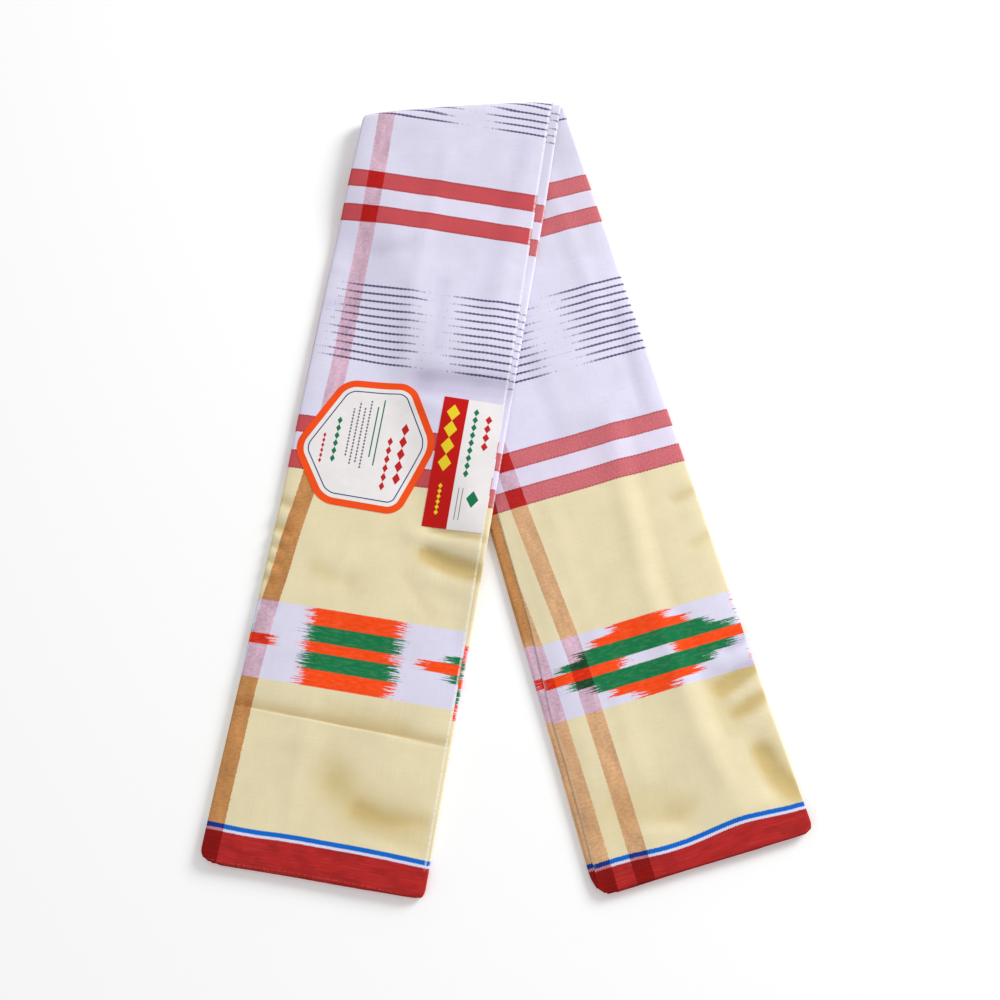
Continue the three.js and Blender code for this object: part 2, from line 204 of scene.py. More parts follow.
def bend_s(arm, u):
    """How far up an arm its line u meets the bend."""
    return ((bend_point - arm.plan(u, np.zeros_like(u))) @ bend_normal) / (arm.along @ bend_normal)


def bend_v(arm, u):
    """Where along the bend the line u of an arm meets it."""
    return (arm.plan(u, bend_s(arm, u)) - bend_point) @ bend_along


def ease(x, low, high):
    part = np.clip((x - low) / (high - low), 0, 1)
    return part * part * (3 - 2 * part)


def mix(a, b, part):
    return a + (b - a) * part


def nearest(u, s, path):
    """Distance of points from a path, and their signed distance above it up the arm."""
    best = np.full(np.shape(u), np.inf)
    above = np.zeros(np.shape(u))
    for (u0, s0), (u1, s1) in zip(path, path[1:]):
        du, ds = u1 - u0, s1 - s0
        part = np.clip(((u - u0) * du + (s - s0) * ds) / (du * du + ds * ds), 0, 1)
        off_u, off_s = u - u0 - part * du, s - s0 - part * ds
        distance = np.hypot(off_u, off_s)
        above = np.where(distance < best, off_s, above)
        best = np.minimum(best, distance)
    return best, above


def raised(u, s, forms):
    total = np.zeros(np.shape(u))
    for rise, half_width, path in forms:
        distance, _ = nearest(u, s, path)
        total += rise * np.exp(-(distance / half_width) ** 2)
    return total


STEP_ROUND = 0.8


def stepped(u, s, steps):
    """Small steps along pressed lines, rounded over about a millimetre."""
    total = np.zeros(np.shape(u))
    for path, dip, dip_run, lip, lip_run in steps:
        _, above = nearest(u, s, path)
        side = ease(above, -STEP_ROUND, STEP_ROUND)
        up = -dip * np.exp(-np.abs(above) / dip_run)
        down = lip * np.exp(-np.abs(above) / lip_run)
        total += mix(down, up, side)
    return total


def settle(u, s):
    """Slight unevenness of cloth that was pressed by hand, never the same twice."""
    return (0.16 * np.sin(u / 21 + s / 67 + 1.3) * np.sin(s / 43 + 0.4)
            + 0.10 * np.sin(u / 9.5 - s / 88 + 2.1) * np.sin(s / 31 + u / 60)
            + 0.07 * np.sin(s / 13.7 + u / 34) * np.sin(u / 17 + 0.8))


def over_lift(plan):
    """Height of the over arm's underside: it leaves the bend, settles on the under arm,
    and comes down past that arm's left edge onto the table."""
    from_bend = (bend_point - plan) @ bend_normal
    past_edge = -((plan - under.hem) @ under.across + PACKET_W / 2)
    on_under = 1 - ease(past_edge, 0, DROP_RUN)
    settled = ease(from_bend, RUN_IN, RUN_IN + SETTLE_RUN)
    return mix(PACKET_T + 2 * BEND_EYE_R, (PACKET_T + LEAF_GAP) * on_under, settled)


# The forms of an arm fade out towards the bend, over these distances from it.
FADE_END, FADE_START = 2, 30


def arm_height(arm, u, s, level):
    """Height of points of an arm. level is measured from the packet's inner face."""
    fade = ease(bend_s(arm, u) - s, FADE_END, FADE_START)
    swell = 1 + raised(u, s, arm.forms) * fade / PACKET_T
    up = level if arm is over else PACKET_T - level
    fine = (raised(u, s, arm.creases) + stepped(u, s, arm.steps) + settle(u, s)) * fade
    lift = over_lift(arm.plan(u, s)) if arm is over else 0.0
    return lift + up * swell + fine * np.clip(up / PACKET_T, 0, 1.1) ** 2


# The packet's section is a flat S. Its line runs along leaf 1 from its free edge on the
# right, turns on the left, runs back along leaf 2, turns on the right and ends with
# leaf 3. Each point of the line has a face on either side of it.
LEAF_COLUMNS = 36
MIDDLE_COLUMNS = 12
TURN_COLUMNS = 6
TURN_R = (2 * LEAF_T + LEAF_GAP) / 2
LEVEL_1 = PACKET_T - LEAF_T / 2
LEVEL_2 = PACKET_T / 2
LEVEL_3 = LEAF_T / 2

line_parts = (
    [(1, i / LEAF_COLUMNS) for i in range(LEAF_COLUMNS + 1)]
    + [("left", i / TURN_COLUMNS) for i in range(1, TURN_COLUMNS)]
    + [(2, i / MIDDLE_COLUMNS) for i in range(MIDDLE_COLUMNS + 1)]
    + [("right", i / TURN_COLUMNS) for i in range(1, TURN_COLUMNS)]
    + [(3, i / LEAF_COLUMNS) for i in range(LEAF_COLUMNS + 1)]
)
LINE_COUNT = len(line_parts)

# How far the line draws back from the hem: leaf 2 reaches furthest.
HEM_DRAW = {1: 1.5, 2: 0.4, 3: 0.9}


def line_draw(part, along_part):
    if part == "left":
        return mix(HEM_DRAW[1], HEM_DRAW[2], along_part)
    if part == "right":
        return mix(HEM_DRAW[2], HEM_DRAW[3], along_part)
    return HEM_DRAW[part]


def section_side(edges, outer):
    """u and level of one side of the S. outer is the side that shows on leaf 1."""
    left, right, inset_1, inset_3 = edges
    half = LEAF_T / 2 if outer else -LEAF_T / 2
    left_r, right_r = (TURN_R, LEAF_GAP / 2) if outer else (LEAF_GAP / 2, TURN_R)
    u, level = [], []
    for part, along_part in line_parts:
        angle = math.pi * (along_part if part in ("left", "right") else 0)
        if part == 1:
            u.append(mix(right - inset_1, left + TURN_R, along_part))
            level.append(LEVEL_1 + half)
        elif part == "left":
            u.append(left + TURN_R - left_r * math.sin(angle))
            level.append((LEVEL_1 + LEVEL_2) / 2 + left_r * math.cos(angle))
        elif part == 2:
            u.append(mix(left + TURN_R, right - TURN_R, along_part))
            level.append(LEVEL_2 - half)
        elif part == "right":
            u.append(right - TURN_R + right_r * math.sin(angle))
            level.append((LEVEL_2 + LEVEL_3) / 2 + right_r * math.cos(angle))
        else:
            u.append(mix(right - TURN_R, left + inset_3, along_part))
            level.append(LEVEL_3 + half)
    return np.array(u), np.array(level)


# A leaf is thinner towards its free edge, and the packet is rounded down at its folds.
EDGE_THIN = {1: 0.75, 3: 1.5}
EDGE_RUN = 15.0
SHOULDER_DROP = 0.8
SHOULDER_RUN = 10.0


def thinned(leaf, distance):
    return EDGE_THIN[leaf] * (1 - ease(distance, 0, EDGE_RUN))


def shouldered(u, level, edges):
    """Levels drawn towards the packet's middle plane near its left and right folds."""
    out = (level - PACKET_T / 2) / (PACKET_T / 2)
    left = (1 - ease(u - edges[0], 0, SHOULDER_RUN)) * np.clip(out, 0, 1)
    right = (1 - ease(edges[1] - u, 0, SHOULDER_RUN)) * np.clip(-out, 0, 1)
    return level - SHOULDER_DROP * (left - right)


# The edge of a leaf shows its four layers. Points through its thickness, how far the
# layers stand out at a free edge, where they are two folds, the share of that by which
# the weave runs on over them, and how far the layers and grooves stand out at a hem. At
# the seam point the outer side's weave ends and the inner side's begins.
LAYER_POINTS = np.array([0.06, 0.19, 0.25, 0.31, 0.44, 0.5, 0.56, 0.69, 0.75, 0.81, 0.94])
FOLD_OUT = np.array([0.45, 0.95, 1.05, 0.95, 0.45, -0.7, 0.15, 0.6, 0.7, 0.6, 0.15])
FOLD_WEAVE = 0.8
LAYER_OUT = [0.9, 0.1, 1.3, 0.5]
GROOVE_OUT = -1.1
SEAM_POINT = 5


def hem_out(line_place):
    """How far each point through a leaf stands out at the hem, along the section line."""
    rows = []
    for point in range(len(LAYER_POINTS)):
        layer, place = divmod(point, 3)
        if place == 2:
            rows.append(np.full(LINE_COUNT, GROOVE_OUT))
        else:
            wave = 0.28 * np.sin(line_place / (23 + 4 * layer) + 1.7 * layer)
            rows.append(LAYER_OUT[layer] + wave + 0.12 * np.sin(line_place / 5.1 + 2.3 * layer))
    return np.array(rows)


# How the yarn lines wander in the folded packet: distance of the wide red weft stripe
# from the left edge, up each arm, and how the blue line at the hem waves across it.
OVER_WANDER = np.array([(0, -3.4), (31, -3.1), (73, -2.5), (115, -1.9), (165, 0.2), (186, 1.0),
                        (198, 3.0), (213, 4.6), (232, 5.6), (250, 7.6), (264, 9.4), (274, 10.8),
                        (310, 14.0), (371, 15.8), (445, 14.8), (505, 15.0), (543, 14.3),
                        (582, 12.7), (620, 12.0)])
UNDER_WANDER = np.array([(0, 26.2), (32, 26.3), (72, 26.7), (121, 26.3), (180, 25.9),
                         (218, 23.1), (287, 18.5), (400, 14.0), (620, 12.0)])
LEFT_WANDER = np.array([(0, -13.5), (100, -13.5), (180, -12.5), (300, -10.0), (400, 4.0),
                        (620, 12.0)])
HIDDEN_WANDER = 12.0
OVER_BLUE = np.array([(5, 27.8), (23, 26.6), (41, 27.3), (60, 28.0), (78, 27.5), (96, 27.6),
                      (115, 27.2), (133, 26.6), (151, 25.6)])
UNDER_BLUE = np.array([(7, 29.5), (25, 29.9), (43, 27.9), (61, 27.4), (79, 28.7), (97, 31.4),
                       (115, 32.1), (133, 29.6), (154, 29.0)])
# How far the woven lines lie from their place up each arm, where the cloth is pulled.
OVER_LINES = np.array([(0, 0), (132, 0), (188, -0.9), (289, -0.4), (350, 0), (600, 0)])
UNDER_LINES = np.array([(0, 0), (100, 1.6), (132, 2.4), (188, 1.6), (289, 0.2), (340, 0), (600, 0)])
# The hem's waves are gone past these distances up each arm. The dash rows sag between theirs.
OVER_CALM, UNDER_CALM = (70, 150), (50, 120)
DASH_SAG = np.array([(0, 0.7), (70, 3.0), (85, 3.0), (150, 1.3)])
SAG_START, SAG_END = (350, 385), (440, 485)
BLUE_MIDDLE = 30.2
LEAF_SHIFT = np.array([(0, 4.0), (60, 4.5), (160, 9.0), (300, 8.0), (500, 8.0), (600, 3.0)])
# The inner side's coordinates across start far from the outer side's.
INNER_X = 500.0
INNER_FROM = INNER_X - 50

line_middle = (bend_s(over, np.array([PACKET_W / 2])) + bend_s(under, np.array([PACKET_W / 2])))[0]
OUTER_LENGTH = line_middle + math.pi * (BEND_EYE_R + PACKET_T)
INNER_LENGTH = line_middle + math.pi * BEND_EYE_R


def table(rows, x, soften=8.0):
    """A table's value, softened over a short length so that no yarn line has a corner."""
    spots = soften * np.array([-1.5, -1.0, -0.5, 0.0, 0.5, 1.0, 1.5])
    return np.mean([np.interp(x + spot, rows[:, 0], rows[:, 1]) for spot in spots], axis=0)


def loop_of(outer, inner, last_fold, first_fold):
    """The closed section: the outer side, leaf 3's edge, the inner side, leaf 1's edge."""
    return np.concatenate([outer, last_fold, inner[::-1], first_fold[::-1]])


def section(edges):
    """u, level and cloth coordinate across for the closed section. The cloth coordinate is
    given for both sides, because they are different layers."""
    outer_u, outer_level = section_side(edges, True)
    inner_u, inner_level = section_side(edges, False)
    u = loop_of(outer_u, inner_u, outer_u[-1] - FOLD_OUT, outer_u[0] + FOLD_OUT)
    outer_run = np.concatenate([[0], np.cumsum(np.hypot(np.diff(outer_u), np.diff(outer_level)))])
    inner_run = np.concatenate([[0], np.cumsum(np.hypot(np.diff(inner_u), np.diff(inner_level)))])
    outer_x = outer_u[0] - outer_run
    inner_x = INNER_X + inner_u[-1] + inner_run[-1] - inner_run
    fold_run = np.abs(FOLD_OUT) * FOLD_WEAVE
    x_outer = loop_of(outer_x, inner_x, outer_x[-1] - fold_run, outer_x[0] + fold_run)
    x_inner = loop_of(outer_x, inner_x, inner_x[-1] - fold_run, inner_x[0] + fold_run)
    leaf = LEAF_COLUMNS + 1
    outer_level[:leaf] -= thinned(1, outer_u[0] - outer_u[:leaf])
    inner_level[-leaf:] += thinned(3, inner_u[-leaf:] - inner_u[-1])
    level = loop_of(outer_level, inner_level,
                    LEAF_T - (LEAF_T - EDGE_THIN[3]) * LAYER_POINTS,
                    PACKET_T - EDGE_THIN[1] - (LEAF_T - EDGE_THIN[1]) * LAYER_POINTS)
    level = shouldered(u, level, edges)
    rim = rim_distance(u, edges)
    return u, level, x_outer, x_inner, rim


FAR_FROM_EDGE = 9.0


def rim_distance(u, edges):
    """How far each point of the section lies from a free edge or the right fold."""
    left, right, inset_1, inset_3 = edges
    by_part = {1: right - inset_1 - u, 3: u - left - inset_3, "right": right - u}
    parts = [part for part, _ in line_parts]
    loop_parts = parts + [3] * len(LAYER_POINTS) + parts[::-1] + [1] * len(LAYER_POINTS)
    return np.array([abs(by_part[part][i]) if part in by_part else FAR_FROM_EDGE
                     for i, part in enumerate(loop_parts)])


# Where the sections lie up each arm, closer together at the line pressed across the over arm.
OVER_STATIONS = 204
PRESS_STATIONS = 12
PRESS_FROM, PRESS_TO = 0.171, 0.187
OVER_PARTS = np.sort(np.concatenate([np.linspace(0, 1, OVER_STATIONS, endpoint=False),
                                     np.linspace(PRESS_FROM, PRESS_TO, PRESS_STATIONS)]))
UNDER_STATIONS = 206
BEND_STATIONS = 14
draw = np.array([line_draw(*part) for part in line_parts])
last_draw = np.full(len(LAYER_POINTS), HEM_DRAW[3])
first_draw = np.full(len(LAYER_POINTS), HEM_DRAW[1])
loop_draw = loop_of(draw, draw, last_draw, first_draw)


def corner_draw(distance, reach):
    across, along = reach
    inside = np.clip(1 - np.maximum(distance, 0) / across, 0, 1)
    return along * (1 - np.sqrt(1 - inside ** 2))


def arm_station(arm, part):
    """One section of an arm, from its hem (0) to the bend (1)."""
    middle_s = mix(arm.hem_s, bend_s(arm, np.array([PACKET_W / 2]))[0], part)
    edges = [np.interp(middle_s, arm.edges[:, 0], arm.edges[:, i]) for i in range(1, 5)]
    u, level, x_outer, x_inner, rim = section(edges)
    corner = corner_draw(u - edges[0], arm.corners[0]) + corner_draw(edges[1] - u, arm.corners[1])
    s = mix(arm.hem_s + loop_draw + corner, bend_s(arm, u), part)
    plan = arm.plan(u, s)
    z = arm_height(arm, u, s, level)
    return np.column_stack([plan, z]), u, s, x_outer, x_inner, rim


# The dent depth below is used to paint shade into the cloth's colour.
DEEPEST = 1.8
BROAD_SHARE = 0.7


def hollow(arm, u, s):
    """How deep points of an arm lie in its dents, from 0 to 1."""
    broad = BROAD_SHARE * raised(u, s, arm.forms)
    depth = raised(u, s, arm.creases) + broad + stepped(u, s, arm.steps)
    return np.clip(-depth / DEEPEST, 0, 1)


# How far the bend's back bows outwards along its length.
BEND_BOW = np.array([(0, 0.3), (25, 2.2), (60, 3.8), (90, 4.2), (120, 3.7), (154, 2.6)])


def bend_station(turn):
    """One section round the bend, from the over arm (0) to the under arm (1)."""
    u, level, x_outer, x_inner, rim = section(over.edges[-1, 1:])
    radius = BEND_EYE_R + level
    reach = radius + table(BEND_BOW, u)
    place = mix(bend_v(over, u), bend_v(under, u), turn)
    plan = (bend_point + bend_along * place[:, None]
            + bend_normal * (reach * math.sin(math.pi * turn))[:, None])
    z = PACKET_T + BEND_EYE_R + radius * math.cos(math.pi * turn)
    return np.column_stack([plan, z]), u, x_outer, x_inner, rim


def over_y(u, s, outer):
    """Cloth coordinate along the over arm, from the middle of the cloth."""
    wave = (table(OVER_BLUE, u) - BLUE_MIDDLE) * (1 - ease(s, *OVER_CALM))
    sag = table(DASH_SAG, u) * ease(s, *SAG_START) * (1 - ease(s, *SAG_END))
    if outer:
        return s - wave + sag + table(OVER_LINES, s) - OUTER_LENGTH / 2
    return s + table(LEAF_SHIFT, s) - INNER_LENGTH / 2


def under_y(u, s, outer):
    """Cloth coordinate along the under arm, from the middle of the cloth."""
    wave = (table(UNDER_BLUE, u) - BLUE_MIDDLE) * (1 - ease(s, *UNDER_CALM))
    if outer:
        return OUTER_LENGTH / 2 - s
    return INNER_LENGTH / 2 - s - table(UNDER_LINES, s) + wave


def wander(x, y, outer):
    """Cloth coordinate across, from the wide red weft stripe."""
    if outer:
        up_over = y + OUTER_LENGTH / 2
        up_under = OUTER_LENGTH / 2 - y
        return x - np.where(y < 0, table(OVER_WANDER, up_over), table(LEFT_WANDER, up_under))
    up_under = INNER_LENGTH / 2 - y
    return x - INNER_X - np.where(y < 0, HIDDEN_WANDER, table(UNDER_WANDER, up_under))


stations = []
for part in OVER_PARTS:
    points, u, s, x_outer, x_inner, rim = arm_station(over, part)
    stations.append((points, x_outer, x_inner, over_y(u, s, True), over_y(u, s, False),
                     hollow(over, u, s), rim))
for k in range(BEND_STATIONS + 1):
    turn = k / BEND_STATIONS
    points, u, x_outer, x_inner, rim = bend_station(turn)
    y_both = [mix(over_y(u, bend_s(over, u), outer), under_y(u, bend_s(under, u), outer), turn)
              for outer in (True, False)]
    stations.append((points, x_outer, x_inner, *y_both, np.zeros(len(u)), rim))
for k in range(UNDER_STATIONS):
    points, u, s, x_outer, x_inner, rim = arm_station(under, 1 - (k + 1) / UNDER_STATIONS)
    stations.append((points, x_outer, x_inner, under_y(u, s, True), under_y(u, s, False),
                     hollow(under, u, s), rim))

STATION_COUNT = len(stations)
LOOP_COUNT = len(stations[0][0])
points, x_outer, x_inner, y_outer, y_inner, hollows, rims = (
    np.array([row[i] for row in stations]) for i in range(7))
vertices = points.reshape(-1, 3)

# Faces round the packet. Those from the middle of leaf 3's edge to the middle of leaf 1's
# show the inner side's weave, and the others the outer side's.
inner_first = LINE_COUNT + SEAM_POINT
inner_last = 2 * LINE_COUNT + 2 * len(LAYER_POINTS) - SEAM_POINT - 1
k, j = np.meshgrid(np.arange(STATION_COUNT - 1), np.arange(LOOP_COUNT), indexing="ij")
j_next = (j + 1) % LOOP_COUNT
walls = np.stack([k * LOOP_COUNT + j, k * LOOP_COUNT + j_next,
                  (k + 1) * LOOP_COUNT + j_next, (k + 1) * LOOP_COUNT + j], axis=-1).reshape(-1, 4)
wall_inner = ((j >= inner_first) & (j < inner_last)).reshape(-1)


def corner_values(outer_values, inner_values, faces, inner):
    """A value at each corner of the faces, from the layer whose weave they show."""
    return np.where(inner[:, None], inner_values.reshape(-1)[faces], outer_values.reshape(-1)[faces])


wall_x = corner_values(x_outer, x_inner, walls, wall_inner)
wall_y = corner_values(y_outer, y_inner, walls, wall_inner)


# How far past the hem's edge the weave goes on over the layered end.
HEM_WRAP = 0.6


def hem_cap(station, arm, sign):
    """The layered end of the packet: a grid of points between its two sides."""
    first = station * LOOP_COUNT
    outer_ids = first + np.arange(LINE_COUNT)
    inner_ids = first + LINE_COUNT + len(LAYER_POINTS) + np.arange(LINE_COUNT)[::-1]
    last_edge = first + LINE_COUNT + np.arange(len(LAYER_POINTS))
    first_edge = first + 2 * LINE_COUNT + len(LAYER_POINTS) + np.arange(len(LAYER_POINTS))[::-1]
    line_place = np.linspace(0, 3 * PACKET_W, LINE_COUNT)
    out = hem_out(line_place)
    outward = -np.append(arm.along, 0)
    grid = np.zeros((LINE_COUNT, len(LAYER_POINTS) + 2), dtype=int)
    grid[:, 0], grid[:, -1] = outer_ids, inner_ids
    grid[0, 1:-1], grid[-1, 1:-1] = first_edge, last_edge
    added = []
    known = len(vertices) + sum(len(rows) for rows in cap_points)
    for i in range(1, LINE_COUNT - 1):
        start, end = vertices[outer_ids[i]], vertices[inner_ids[i]]
        for m, part in enumerate(LAYER_POINTS):
            grid[i, m + 1] = known + len(added)
            added.append(mix(start, end, part) + outward * out[m, i])
    cap_points.append(np.array(added))
    faces, xs, ys = [], [], []
    flat_x = {True: x_outer.reshape(-1), False: x_inner.reshape(-1)}
    flat_y = {True: y_outer.reshape(-1), False: y_inner.reshape(-1)}
    for i in range(LINE_COUNT - 1):
        for m in range(grid.shape[1] - 1):
            cells = [(i + 1, m), (i, m), (i, m + 1), (i + 1, m + 1)]
            if sign < 0:
                cells = [(i, m), (i + 1, m), (i + 1, m + 1), (i, m + 1)]
            outer = m <= SEAM_POINT
            ids = outer_ids if outer else inner_ids
            faces.append([grid[a, b] for a, b in cells])
            xs.append([flat_x[outer][ids[a]] for a, b in cells])
            ys.append([flat_y[outer][ids[a]] - sign * HEM_WRAP * (0 < b < grid.shape[1] - 1)
                       for a, b in cells])
    return faces, xs, ys


cap_points = []
over_cap = hem_cap(0, over, 1)
under_cap = hem_cap(STATION_COUNT - 1, under, -1)
all_points = np.concatenate([vertices, *cap_points])
all_faces = np.concatenate([walls, over_cap[0], under_cap[0]]).astype(int)
all_x = np.concatenate([wall_x, over_cap[1], under_cap[1]])
all_y = np.concatenate([wall_y, over_cap[2], under_cap[2]])
all_inner = all_x > INNER_FROM

cloth_mesh = bpy.data.meshes.new("lungi_cloth")
cloth_mesh.from_pydata((all_points * MM).tolist(), [], all_faces.tolist())
weave_map = cloth_mesh.uv_layers.new(name="weave")
weave_map.data.foreach_set("uv", np.stack([all_x, all_y], axis=-1).reshape(-1))
stripe_map = cloth_mesh.uv_layers.new(name="stripe")
stripe_x = np.where(all_inner, wander(all_x, all_y, False), wander(all_x, all_y, True))
stripe_map.data.foreach_set("uv", np.stack([stripe_x, all_inner * 1.0], axis=-1).reshape(-1))
# Per-point dent depth and distance from the edges, read by the material for painted shade in dents and a
# painted highlight along edges.
for name, station_values, elsewhere in (("hollow", hollows, 0.0), ("rim", rims, FAR_FROM_EDGE)):
    values = np.full(len(all_points), elsewhere)
    values[:station_values.size] = station_values.reshape(-1)
    layer = cloth_mesh.attributes.new(name=name, type="FLOAT", domain="POINT")
    layer.data.foreach_set("value", values)
cloth_mesh.polygons.foreach_set("use_smooth", np.ones(len(all_faces), dtype=bool))
cloth_mesh.update()
cloth = bpy.data.objects.new("lungi_cloth", cloth_mesh)
bpy.context.collection.objects.link(cloth)
bpy.context.view_layer.objects.active = cloth
cloth.select_set(True)
bpy.ops.object.mode_set(mode="EDIT")
bpy.ops.mesh.select_all(action="SELECT")
bpy.ops.mesh.normals_make_consistent(inside=False)
bpy.ops.object.mode_set(mode="OBJECT")
cloth.select_set(False)


# The yarn colours and the woven pattern. Bands along the packet are warp yarns, and the
# stripes up it are weft yarns that cross them.
def dye(red, green, blue):
    """A yarn colour read off the cloth, as linear light."""
    parts = [value / 255 for value in (red, green, blue)]
    linear = [p / 12.92 if p <= 0.04045 else ((p + 0.055) / 1.055) ** 2.4 for p in parts]
    return (*linear, 1.0)


BORDER_RED = dye(184, 38, 36)
HEATHER_RED = dye(200, 62, 68)
HEATHER_LIGHT = dye(244, 208, 220)
TOOTH_RED = dye(126, 26, 34)
LAVENDER = dye(226, 222, 243)
LEMON = dye(236, 223, 184)
BLUE = dye(6, 106, 208)
TAN = dye(199, 141, 85)
TAN_LIGHT = dye(218, 172, 128)
PINK = dye(216, 180, 200)
CROSS_RED = dye(186, 16, 10)
CROSS_BLUE = dye(8, 52, 140)
CROSS_BORDER = dye(140, 9, 3)
CROSS_PINK = dye(196, 128, 140)
NAVY = dye(62, 58, 108)
ORANGE = dye(255, 76, 16)
GREEN = dye(18, 122, 72)

# Where the bands lie, measured from the hem: a white and a blue line above the red border,
# the lemon field, the ikat band, and two pairs of heathered red bands.
WHITE_LINE = 27.4
BLUE_LINE = 29.3
LEMON_START = 32.5
IKAT_LOW, IKAT_HIGH = 132.4, 187.6
LOW_REDS = [(288.8, 303.1), (317.4, 331.2)]
HIGH_REDS = [(493.0, 507.1), (521.4, 535.9)]

# Each band's start, its warp colour, and its colour where a weft stripe crosses it.
BANDS = [
    (0.0, BORDER_RED, CROSS_BORDER),
    (WHITE_LINE, LAVENDER, CROSS_PINK),
    (BLUE_LINE, BLUE, CROSS_BLUE),
    (LEMON_START, LEMON, TAN),
    (IKAT_LOW, LAVENDER, PINK),
    (IKAT_HIGH, LEMON, TAN),
]
for low, high in LOW_REDS + HIGH_REDS:
    BANDS += [(low, HEATHER_RED, CROSS_RED), (high, LAVENDER, PINK)]


class Nodes:
    """Short ways to add the nodes of one material."""

    def __init__(self, material):
        self.tree = material.node_tree

    def add(self, kind, **settings):
        node = self.tree.nodes.new(kind)
        for name, value in settings.items():
            setattr(node, name, value)
        return node

    def feed(self, socket, value):
        if isinstance(value, bpy.types.NodeSocket):
            self.tree.links.new(value, socket)
        else:
            socket.default_value = value

    def math(self, operation, *values, clamp=False):
        node = self.add("ShaderNodeMath", operation=operation, use_clamp=clamp)
        for socket, value in zip(node.inputs, values):
            self.feed(socket, value)
        return node.outputs[0]

    def plus(self, first, second, clamp=False):
        return self.math("ADD", first, second, clamp=clamp)

    def minus(self, first, second):
        return self.math("SUBTRACT", first, second)

    def times(self, *values):
        """The product of two or more values."""
        product = values[0]
        for value in values[1:]:
            product = self.math("MULTIPLY", product, value)
        return product

    def swing(self, value, reach):
        """A value from 0 to 1, made to swing about zero and scaled."""
        return self.times(self.minus(value, 0.5), reach)

    def soft_step(self, value, low, high):
        """0 up to the first limit and 1 past the second, eased between them."""
        node = self.add("ShaderNodeMapRange", interpolation_type="SMOOTHSTEP")
        for socket, item in zip(node.inputs, (value, low, high, 0.0, 1.0)):
            self.feed(socket, item)
        return node.outputs[0]

    def window(self, value, low, high, soft):
        """1 between two limits, with soft ends."""
        rise = self.soft_step(value, low - soft, low + soft)
        fall = self.soft_step(value, high + soft, high - soft)
        return self.times(rise, fall)

    def blend(self, part, first, second, kind="MIX"):
        node = self.add("ShaderNodeMix", data_type="RGBA", blend_type=kind)
        self.feed(node.inputs[0], part)
        self.feed(node.inputs[6], first)
        self.feed(node.inputs[7], second)
        return node.outputs[2]

    def dyed(self, part, colour, tint):
        """A colour with part of a tint dyed into it."""
        return self.blend(part, colour, self.blend(1.0, colour, tint, "MULTIPLY"))

    def shaded(self, colour, light):
        """A colour made lighter or darker by a value about 1."""
        grey = self.add("ShaderNodeCombineXYZ")
        for socket in grey.inputs:
            self.feed(socket, light)
        return self.blend(1.0, colour, grey.outputs[0], "MULTIPLY")

    def noise(self, x, y, detail=2.0, roughness=0.5):
        place = self.add("ShaderNodeCombineXYZ")
        self.feed(place.inputs[0], x)
        self.feed(place.inputs[1], y)
        node = self.add("ShaderNodeTexNoise", noise_dimensions="2D")
        self.feed(node.inputs["Vector"], place.outputs[0])
        node.inputs["Scale"].default_value = 1.0
        node.inputs["Detail"].default_value = detail
        node.inputs["Roughness"].default_value = roughness
        return node.outputs[0]

    def chance(self, value):
        node = self.add("ShaderNodeTexWhiteNoise", noise_dimensions="1D")
        self.feed(node.inputs["W"], value)
        return node.outputs[0]


cotton = bpy.data.materials.new("yarn_dyed_cotton")
cotton.use_nodes = True
cotton.node_tree.nodes.clear()
weave = Nodes(cotton)


def map_values(name):
    """The two values that one of the cloth's UV maps holds."""
    uv = weave.add("ShaderNodeUVMap", uv_map=name)
    split = weave.add("ShaderNodeSeparateXYZ")
    weave.feed(split.inputs[0], uv.outputs[0])
    return split.outputs[0], split.outputs[1]


cloth_x, cloth_y = map_values("weave")
weft_x, is_inner = map_values("stripe")
is_outer = weave.minus(1.0, is_inner)
over_half = weave.math("LESS_THAN", cloth_y, 0.0)
under_half = weave.math("GREATER_THAN", cloth_y, 0.0)


def yarn_noise(across, along, detail=2.0, roughness=0.5):
    """Noise that follows the yarns, with how quickly it changes across and along the cloth."""
    return weave.noise(weave.times(cloth_x, across), weave.times(cloth_y, along), detail, roughness)


# The warp bands. Their edges waver a little and have a tooth where yarns cross.
BAND_SOFT = 0.15
half_length = weave.minus(OUTER_LENGTH / 2, weave.times(is_inner, (OUTER_LENGTH - INNER_LENGTH) / 2))
hem_y = weave.minus(half_length, weave.math("ABSOLUTE", cloth_y))
tooth = weave.math("SINE", weave.times(cloth_x, 3.7))
waver = weave.plus(weave.swing(yarn_noise(1.4, 0.05, 0.0), 0.5), weave.times(tooth, 0.22))
band_y = weave.plus(hem_y, waver)
_, warp_colour, cross_colour = BANDS[0]
for start, warp, crossed in BANDS[1:]:
    past = weave.soft_step(band_y, start - BAND_SOFT, start + BAND_SOFT)
    warp_colour = weave.blend(past, warp_colour, warp)
    cross_colour = weave.blend(past, cross_colour, crossed)

# The weft stripes come in pairs. On the lemon field they are paler on the inner side, and
# near the under arm's hem.
STRIPE_W = 12.8
OUTER_PITCH = 29.0
INNER_PITCH = 26.4
STRIPE_SOFT = 0.25
PALE_FROM, PALE_TO = 196.0, 184.0
weft_edge = weave.plus(weft_x, weave.swing(yarn_noise(0.05, 1.1, 0.0), 0.7))
pitch = weave.plus(OUTER_PITCH, weave.times(is_inner, INNER_PITCH - OUTER_PITCH))
second_edge = weave.plus(weft_edge, pitch)
stripe = weave.plus(weave.window(weft_edge, 0.0, STRIPE_W, STRIPE_SOFT),
                    weave.window(second_edge, 0.0, STRIPE_W, STRIPE_SOFT), clamp=True)
on_lemon = weave.plus(weave.window(band_y, LEMON_START, IKAT_LOW, BAND_SOFT),
                      weave.window(band_y, IKAT_HIGH, LOW_REDS[0][0], BAND_SOFT))
by_under_hem = weave.times(under_half, weave.soft_step(hem_y, PALE_FROM, PALE_TO))
pale_stripe = weave.math("MAXIMUM", is_inner, by_under_hem)
